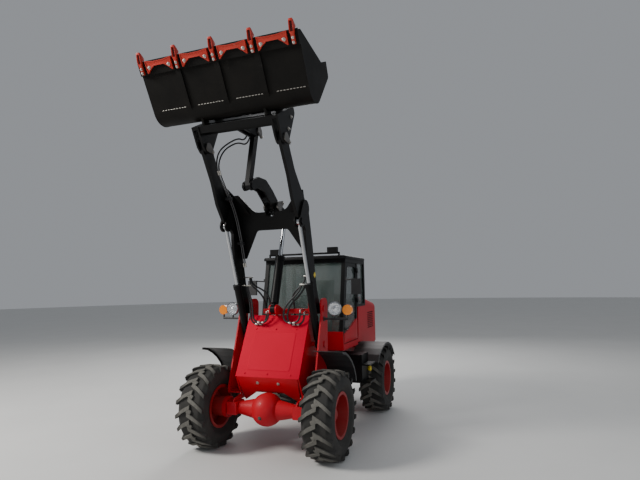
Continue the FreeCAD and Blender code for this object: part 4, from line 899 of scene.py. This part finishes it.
def stuffed(piece):
    remesh = piece.modifiers.new("remesh", "REMESH")
    remesh.mode, remesh.voxel_size = "VOXEL", seat["voxel"]
    bpy.ops.object.modifier_apply(modifier="remesh")
    before = [v.co.copy() for v in piece.data.vertices]
    cloth = piece.modifiers.new("cloth", "CLOTH")
    cloth.settings.use_pressure = True
    cloth.settings.uniform_pressure_force = seat["pressure"]
    cloth.settings.effector_weights.gravity = 0.0
    scene = bpy.context.scene
    for frameNumber in range(1, seat["frames"] + 1):
        scene.frame_set(frameNumber)
    swollen = piece.evaluated_get(bpy.context.evaluated_depsgraph_get()).to_mesh()
    after = [v.co.copy() for v in swollen.vertices]
    piece.modifiers.remove(cloth)
    for vertex, was, now in zip(piece.data.vertices, before, after):
        step = now - was
        vertex.co = was + step * min(1.0, seat["cap"] / max(step.length, 1e-6))
    scene.frame_set(1)


def cushion(name, size, at, lean):
    pad = cube(name, tuple(a - 2 * seat["shrink"] for a in size))
    editAll()
    bpy.ops.mesh.bevel(offset=seat["corner"], segments=4)
    bpy.ops.object.mode_set(mode="OBJECT")
    stuffed(pad)
    pad.matrix_world = Matrix.Translation(at) @ Matrix.Rotation(math.radians(lean), 4, "Y")
    settle(pad, leatherette, "chassis_rear")
    bpy.ops.object.shade_smooth()


cushion("seatCushion", (seat["deep"], seat["wide"], seat["thick"]),
        spot(seat["x"] + 0.5 * seat["deep"], 0, seat["z"] + 0.5 * seat["thick"]), 0.0)
cushion("seatBack", (seat["backThick"], seat["backWide"], seat["backHigh"]),
        spot(seat["backX"], 0, seat["z"] + seat["thick"] + 0.5 * seat["backHigh"] + seat["backGap"]), seat["backLean"])
box = cube("seatBox", seat["boxSize"], spot(*seat["box"]))
for height in seat["boxCuts"]:
    cutThrough(box, (0, 0, height), (0, 0, 1))
for low, high in (seat["boxCuts"][:2], seat["boxCuts"][2:4]):
    pick(box, lambda at, normal: low < at.z < high and abs(normal.z) < 0.1)
    extrude(-seat["fold"])
    bpy.ops.object.mode_set(mode="OBJECT")
rounded(box, 0.006)
settle(box, blackPlastic, "chassis_rear", 40)
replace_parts(box, "seat")
print("seat made")


# painted skin below the belt line, on the door and on the cab's other side
skin = {
    "belt": ((-1.924, 1.590), (-1.840, 1.558), (-1.640, 1.485), (-1.430, 1.428), (-1.280, 1.402), (-1.214, 1.399)),
    "low": 1.252, "y": 0.6595, "half": 0.0175,
}
for name, side, body in (("doorSkin", 1, "door"), ("cabSkin", -1, "chassis_rear")):
    panel = loft(name, [(machineX(x), skin["half"], skin["low"], z) for x, z in skin["belt"]])
    rounded(panel, 0.003, 20)
    panel.location = (0, side * skin["y"], 0)
    settle(panel, redPaint, body, 30)

# roof cap with rounded corners and rim
roof = nodes["cab_roof"]
corners = [roof.matrix_world @ Vector(corner) for corner in roof.bound_box]
low = [min(corner[i] for corner in corners) for i in range(3)]
high = [max(corner[i] for corner in corners) for i in range(3)]
cap = cube("roofCap", *room(low, high))
bpy.ops.object.mode_set(mode="EDIT")
for upright, width, segments in ((True, 0.085, 6), (False, 0.024, 4)):
    bpy.ops.mesh.select_mode(type="EDGE")
    mesh = bmesh.from_edit_mesh(cap.data)
    for edge in mesh.edges:
        a, b = edge.verts[0].co, edge.verts[1].co
        edge.select_set(abs(a.z - b.z) > 0.01 if upright else min(a.z, b.z) > high[2] - 0.001)
    bmesh.update_edit_mesh(cap.data)
    bpy.ops.mesh.bevel(offset=width, segments=segments, affect="EDGES")
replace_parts(settle(cap, blackPaint, "chassis_rear", 35), "cab_roof")
print("cab dressed")


# door handle, fuel cap and blank diamond
trim = {
    "handle": (-1.330, 0.676, 1.460), "handleSize": (0.13, 0.022, 0.034), "grip": ((0.006, 0.012), (0.004, -0.008)),
    "cap": (-1.80, 0.880, 0.800),
    "capStations": [(0.0, 0.034), (0.010, 0.034), (0.014, 0.040), (0.034, 0.040), (0.040, 0.035), (0.041, 0.012)],
    "diamond": (-0.335, 0.5601, 2.266), "diamondSize": 0.062, "diamondCorner": 0.008, "diamondThick": 0.0012,
}
handle = cube("doorHandle", trim["handleSize"], spot(*trim["handle"]))
pick(handle, lambda at, normal: normal.y > 0.9)
for rim, out in trim["grip"]:
    bpy.ops.mesh.inset(thickness=rim)
    extrude(out)
bpy.ops.object.mode_set(mode="OBJECT")
rounded(handle, 0.002)
settle(handle, blackPlastic, "door", 40)
cap = turned("capModel", trim["capStations"], 24)
spread(cap, "fuelCap", [(spot(*trim["cap"]), (0, 1, 0), 1.0)], yellowPlastic, "chassis_rear")
discard(cap)
diamond = sheet("diamond", trim["diamondSize"], trim["diamondSize"])
editAll()
bpy.ops.mesh.bevel(affect="VERTICES", offset=trim["diamondCorner"], segments=4)
bpy.ops.mesh.select_all(action="SELECT")
pull(0, 0, trim["diamondThick"])
bpy.ops.object.mode_set(mode="OBJECT")
diamond.matrix_world = (Matrix.Translation(spot(*trim["diamond"])) @ Matrix.Rotation(-math.pi / 2, 4, "X")
                        @ Matrix.Rotation(math.pi / 4, 4, "Z"))
settle(diamond, yellowPlastic, "boom")
print("trim set")


# hoses that hang from the boom's clamps to the frame, most of them in loops
hoses = {
    "radius": 0.0125,
    "routes": [
        [(-0.285, -0.455, 2.130), (-0.285, -0.455, 2.075), (-0.285, -0.395, 1.890), (-0.292, -0.395, 1.600),
         (-0.292, -0.150, 1.600), (-0.292, -0.150, 1.745)],
        [(-0.256, -0.420, 2.130), (-0.256, -0.420, 2.085), (-0.256, -0.345, 1.890), (-0.256, -0.345, 1.625),
         (-0.256, -0.100, 1.625), (-0.256, -0.100, 1.765)],
        [(-0.330, -0.425, 2.246), (-0.330, -0.425, 2.160), (-0.330, -0.230, 2.010), (-0.450, -0.230, 1.850),
         (-0.450, -0.230, 1.600)],
        [(-0.368, -0.425, 2.246), (-0.368, -0.425, 2.160), (-0.376, -0.165, 2.040), (-0.450, -0.165, 1.850),
         (-0.450, -0.165, 1.600)],
        [(-0.285, 0.430, 2.130), (-0.285, 0.430, 2.060), (-0.288, 0.170, 1.830), (-0.292, 0.170, 1.600),
         (-0.292, 0.415, 1.600), (-0.292, 0.415, 1.735)],
        [(-0.256, 0.395, 2.130), (-0.256, 0.395, 2.065), (-0.256, 0.125, 1.840), (-0.256, 0.125, 1.625),
         (-0.256, 0.370, 1.625), (-0.256, 0.370, 1.765)],
        [(-0.330, 0.425, 2.246), (-0.330, 0.425, 2.165), (-0.335, 0.215, 2.010), (-0.450, 0.215, 1.850),
         (-0.450, 0.215, 1.600)],
    ],
}
boomHoses = pipes("boomHoses", hoses["routes"], hoses["radius"])
dress(boomHoses, rubber)
machineX(-0.30)
machineX(-0.30)
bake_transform(boomHoses)

# elbows from the loops' ends into a port bar behind the cover, and bars that hold the upper ends on the arms
ports = {
    "x": -0.396, "thick": 0.014, "z": (1.741, 1.811), "spans": ((-0.25, -0.08), (0.08, 0.44)), "foot": (0.04, 0.09),
    "footLow": 1.66, "pipe": 0.0105, "rise": 0.034, "back": 0.03, "deep": 0.004,
    # x ends, inner end and low side of the bars on the arms
    "clamps": ((-0.300, -0.240, 0.375, 2.1303), (-0.388, -0.312, 0.405, 2.2463)), "outer": 0.520, "clampHigh": 0.016,
}
elbows = []
for route in hoses["routes"]:
    x, y, z = route[-1]
    if x > ports["x"]:
        top = z + ports["rise"]
        elbows.append([(x, y, z), (x, y, top), (x - ports["back"], y, top), (ports["x"] - ports["deep"], y, top)])
settle(pipes("hoseElbows", elbows, ports["pipe"]), boltSteel, "chassis_front")
depth = (ports["x"] - ports["thick"], ports["x"])
bars = [bar("portBar", depth, span, ports["z"]) for span in ports["spans"]]
bars += [bar("portFoot", depth, [span[0] + a for a in ports["foot"]], (ports["footLow"], ports["z"][0]))
         for span in ports["spans"]]
settle(merge("portBars", bars), redPaint, "chassis_front", 40)
bars = []
for side in (-1, 1):
    for x0, x1, inner, low in ports["clamps"]:
        bars.append(bar("clampBar", (x0, x1), (side * inner, side * ports["outer"]), (low, low + ports["clampHigh"])))
settle(merge("hoseClamps", bars), boltSteel, "boom", 40)

# steel tubes along one arm's inner side, with their clamps and couplings
armTubes = {
    "y": (-0.478, -0.451), "route": ((-0.255, 2.400), (-0.095, 3.060), (0.360, 3.530), (0.425, 3.640)), "radius": 0.009,
    "clamps": ((-0.175, 2.730), (0.150, 3.313)), "half": (0.032, 0.022), "clampY": (-0.520, -0.438), "ahead": 0.03,
    "nut": [(-0.03, 0.0092), (-0.03, 0.0135), (0.0, 0.0145), (0.0, 0.0125), (0.028, 0.0135), (0.032, 0.0092)],
}
routes = [[(x, y, z) for x, z in armTubes["route"]] for y in armTubes["y"]]
settle(pipes("boomTubes", routes, armTubes["radius"]), tubeSteel, "boom")
u, v = armTubes["half"]
bars = [bar("tubeClamp", (x - u, x + u), armTubes["clampY"], (z - v, z + v)) for x, z in armTubes["clamps"]]
settle(merge("tubeClamps", bars), blackPlastic, "boom", 40)
nut = turned("nutModel", armTubes["nut"], 6)
spots = []
for end, other in (armTubes["route"][:2], armTubes["route"][:-3:-1]):
    aim = Vector((other[0] - end[0], 0, other[1] - end[1])).normalized()
    step = armTubes["ahead"] * aim
    spots += [(spot(end[0] + step.x, y, end[1] + step.z), tuple(aim), 1.0) for y in armTubes["y"]]
spread(nut, "tubeCouplings", spots, boltSteel, "boom")
discard(nut)

# tapered gussets between the cross plate and the arms
gusset = {"root": (-0.130, 3.118), "top": (0.195, 3.473), "wide": 0.225, "tip": 0.012, "thick": 0.014, "arm": 0.5195}
rise = Vector((gusset["top"][0] - gusset["root"][0], 0, gusset["top"][1] - gusset["root"][1]))
half, wide = 0.5 * gusset["thick"], gusset["wide"]
gussets = []
for side in (-1, 1):
    plate = block("gusset", (-half, 0, 0), (half, wide, rise.length), 0.002)
    cutThrough(plate, (0, wide, 0), (0, rise.length, wide - gusset["tip"]), True)
    plate.matrix_world = (Matrix.Translation(spot(gusset["root"][0], side * gusset["arm"], gusset["root"][1]))
                          @ Matrix.Rotation(math.atan2(rise.x, rise.z), 4, "Y") @ Matrix.Scale(-side, 4, (0, 1, 0)))
    bake(plate)
    bpy.ops.object.mode_set(mode="EDIT")
    faceOut()
    gussets.append(plate)
settle(merge("crossGussets", gussets), blackPaint, "boom", 30)

# hoses that loop from the arm's tubes to the hitch, and on along the hitch
loops = [
    ("boom", "bucket_hinge", "armLoops", ((0.430, -0.46, 3.70), (0.262, -0.33, 4.05)), [
        [(0.425, -0.478, 3.640), (0.458, -0.478, 3.700), (0.430, -0.470, 3.880), (0.300, -0.430, 4.020),
         (0.262, -0.330, 4.075)],
        [(0.425, -0.451, 3.640), (0.455, -0.451, 3.695), (0.400, -0.440, 3.860), (0.290, -0.400, 3.990),
         (0.235, -0.330, 4.035)],
    ]),
    ("bucket_hinge", "tool", "hitchLoops", ((0.262, -0.33, 4.07), (0.272, -0.09, 4.20)), [
        [(0.262, -0.330, 4.075), (0.244, -0.270, 4.100), (0.250, -0.190, 4.060), (0.262, -0.130, 4.110),
         (0.275, -0.085, 4.215)],
        [(0.235, -0.330, 4.035), (0.208, -0.285, 4.053), (0.205, -0.190, 4.010), (0.240, -0.110, 4.060),
         (0.262, -0.060, 4.180), (0.278, -0.055, 4.235)],
    ]),
]
for near, far, name, (start, end), routes in loops:
    hose = pipes(name, routes, 0.0105)
    dress(hose, rubber)
    machineX(start[0])
    machineX(end[0])
    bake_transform(hose)
spots = bothSides(0.455, 0.5903, 4.205, 1.4) + bothSides(0.535, 0.5903, 4.030, 1.4)
spread(bolt, "hitchBolts", spots, boltSteel, "tool")

# crimped sleeves at both ends of each loop's bottom run
crimp = {
    "stations": [(0.0, 0.0128), (0.0, 0.0165), (0.004, 0.0175), (0.012, 0.0165), (0.020, 0.0175), (0.030, 0.0165),
                 (0.036, 0.0128)],
    "ahead": 0.075, "lift": 0.003, "droop": -0.05,
}
sleeve = turned("sleeveModel", crimp["stations"], 16)
spots = []
for route in hoses["routes"]:
    if len(route) > 5:
        for (x, y, z), other in ((route[3], route[4]), (route[4], route[3])):
            side = 1 if other[1] > y else -1
            spots.append((spot(x, y + side * crimp["ahead"], z + crimp["lift"]), (0, side, crimp["droop"]), 1.0))
spread(sleeve, "hoseSleeves", spots, boltSteel, "chassis_front")
discard(sleeve)
discard(bolt)
print("hoses set")


# floor
floorCoat = Coat("floorCoat")
cloud = floorCoat.noise(0.7, 6.0, 0.6)
floorCoat.set(Base_Color=floorCoat.blend(cloud, (0.60, 0.60, 0.585), (0.68, 0.68, 0.665)),
              Roughness=0.75 + cloud * 0.15)
floorCoat.bump(floorCoat.noise(60.0, 4.0), 0.08, 0.002)
begin()
bpy.ops.mesh.primitive_circle_add(vertices=96, radius=60.0, fill_type="NGON", location=(0, 0, -0.001))
floor = started("floor")
dress(floor, floorCoat)

print("scene finished")
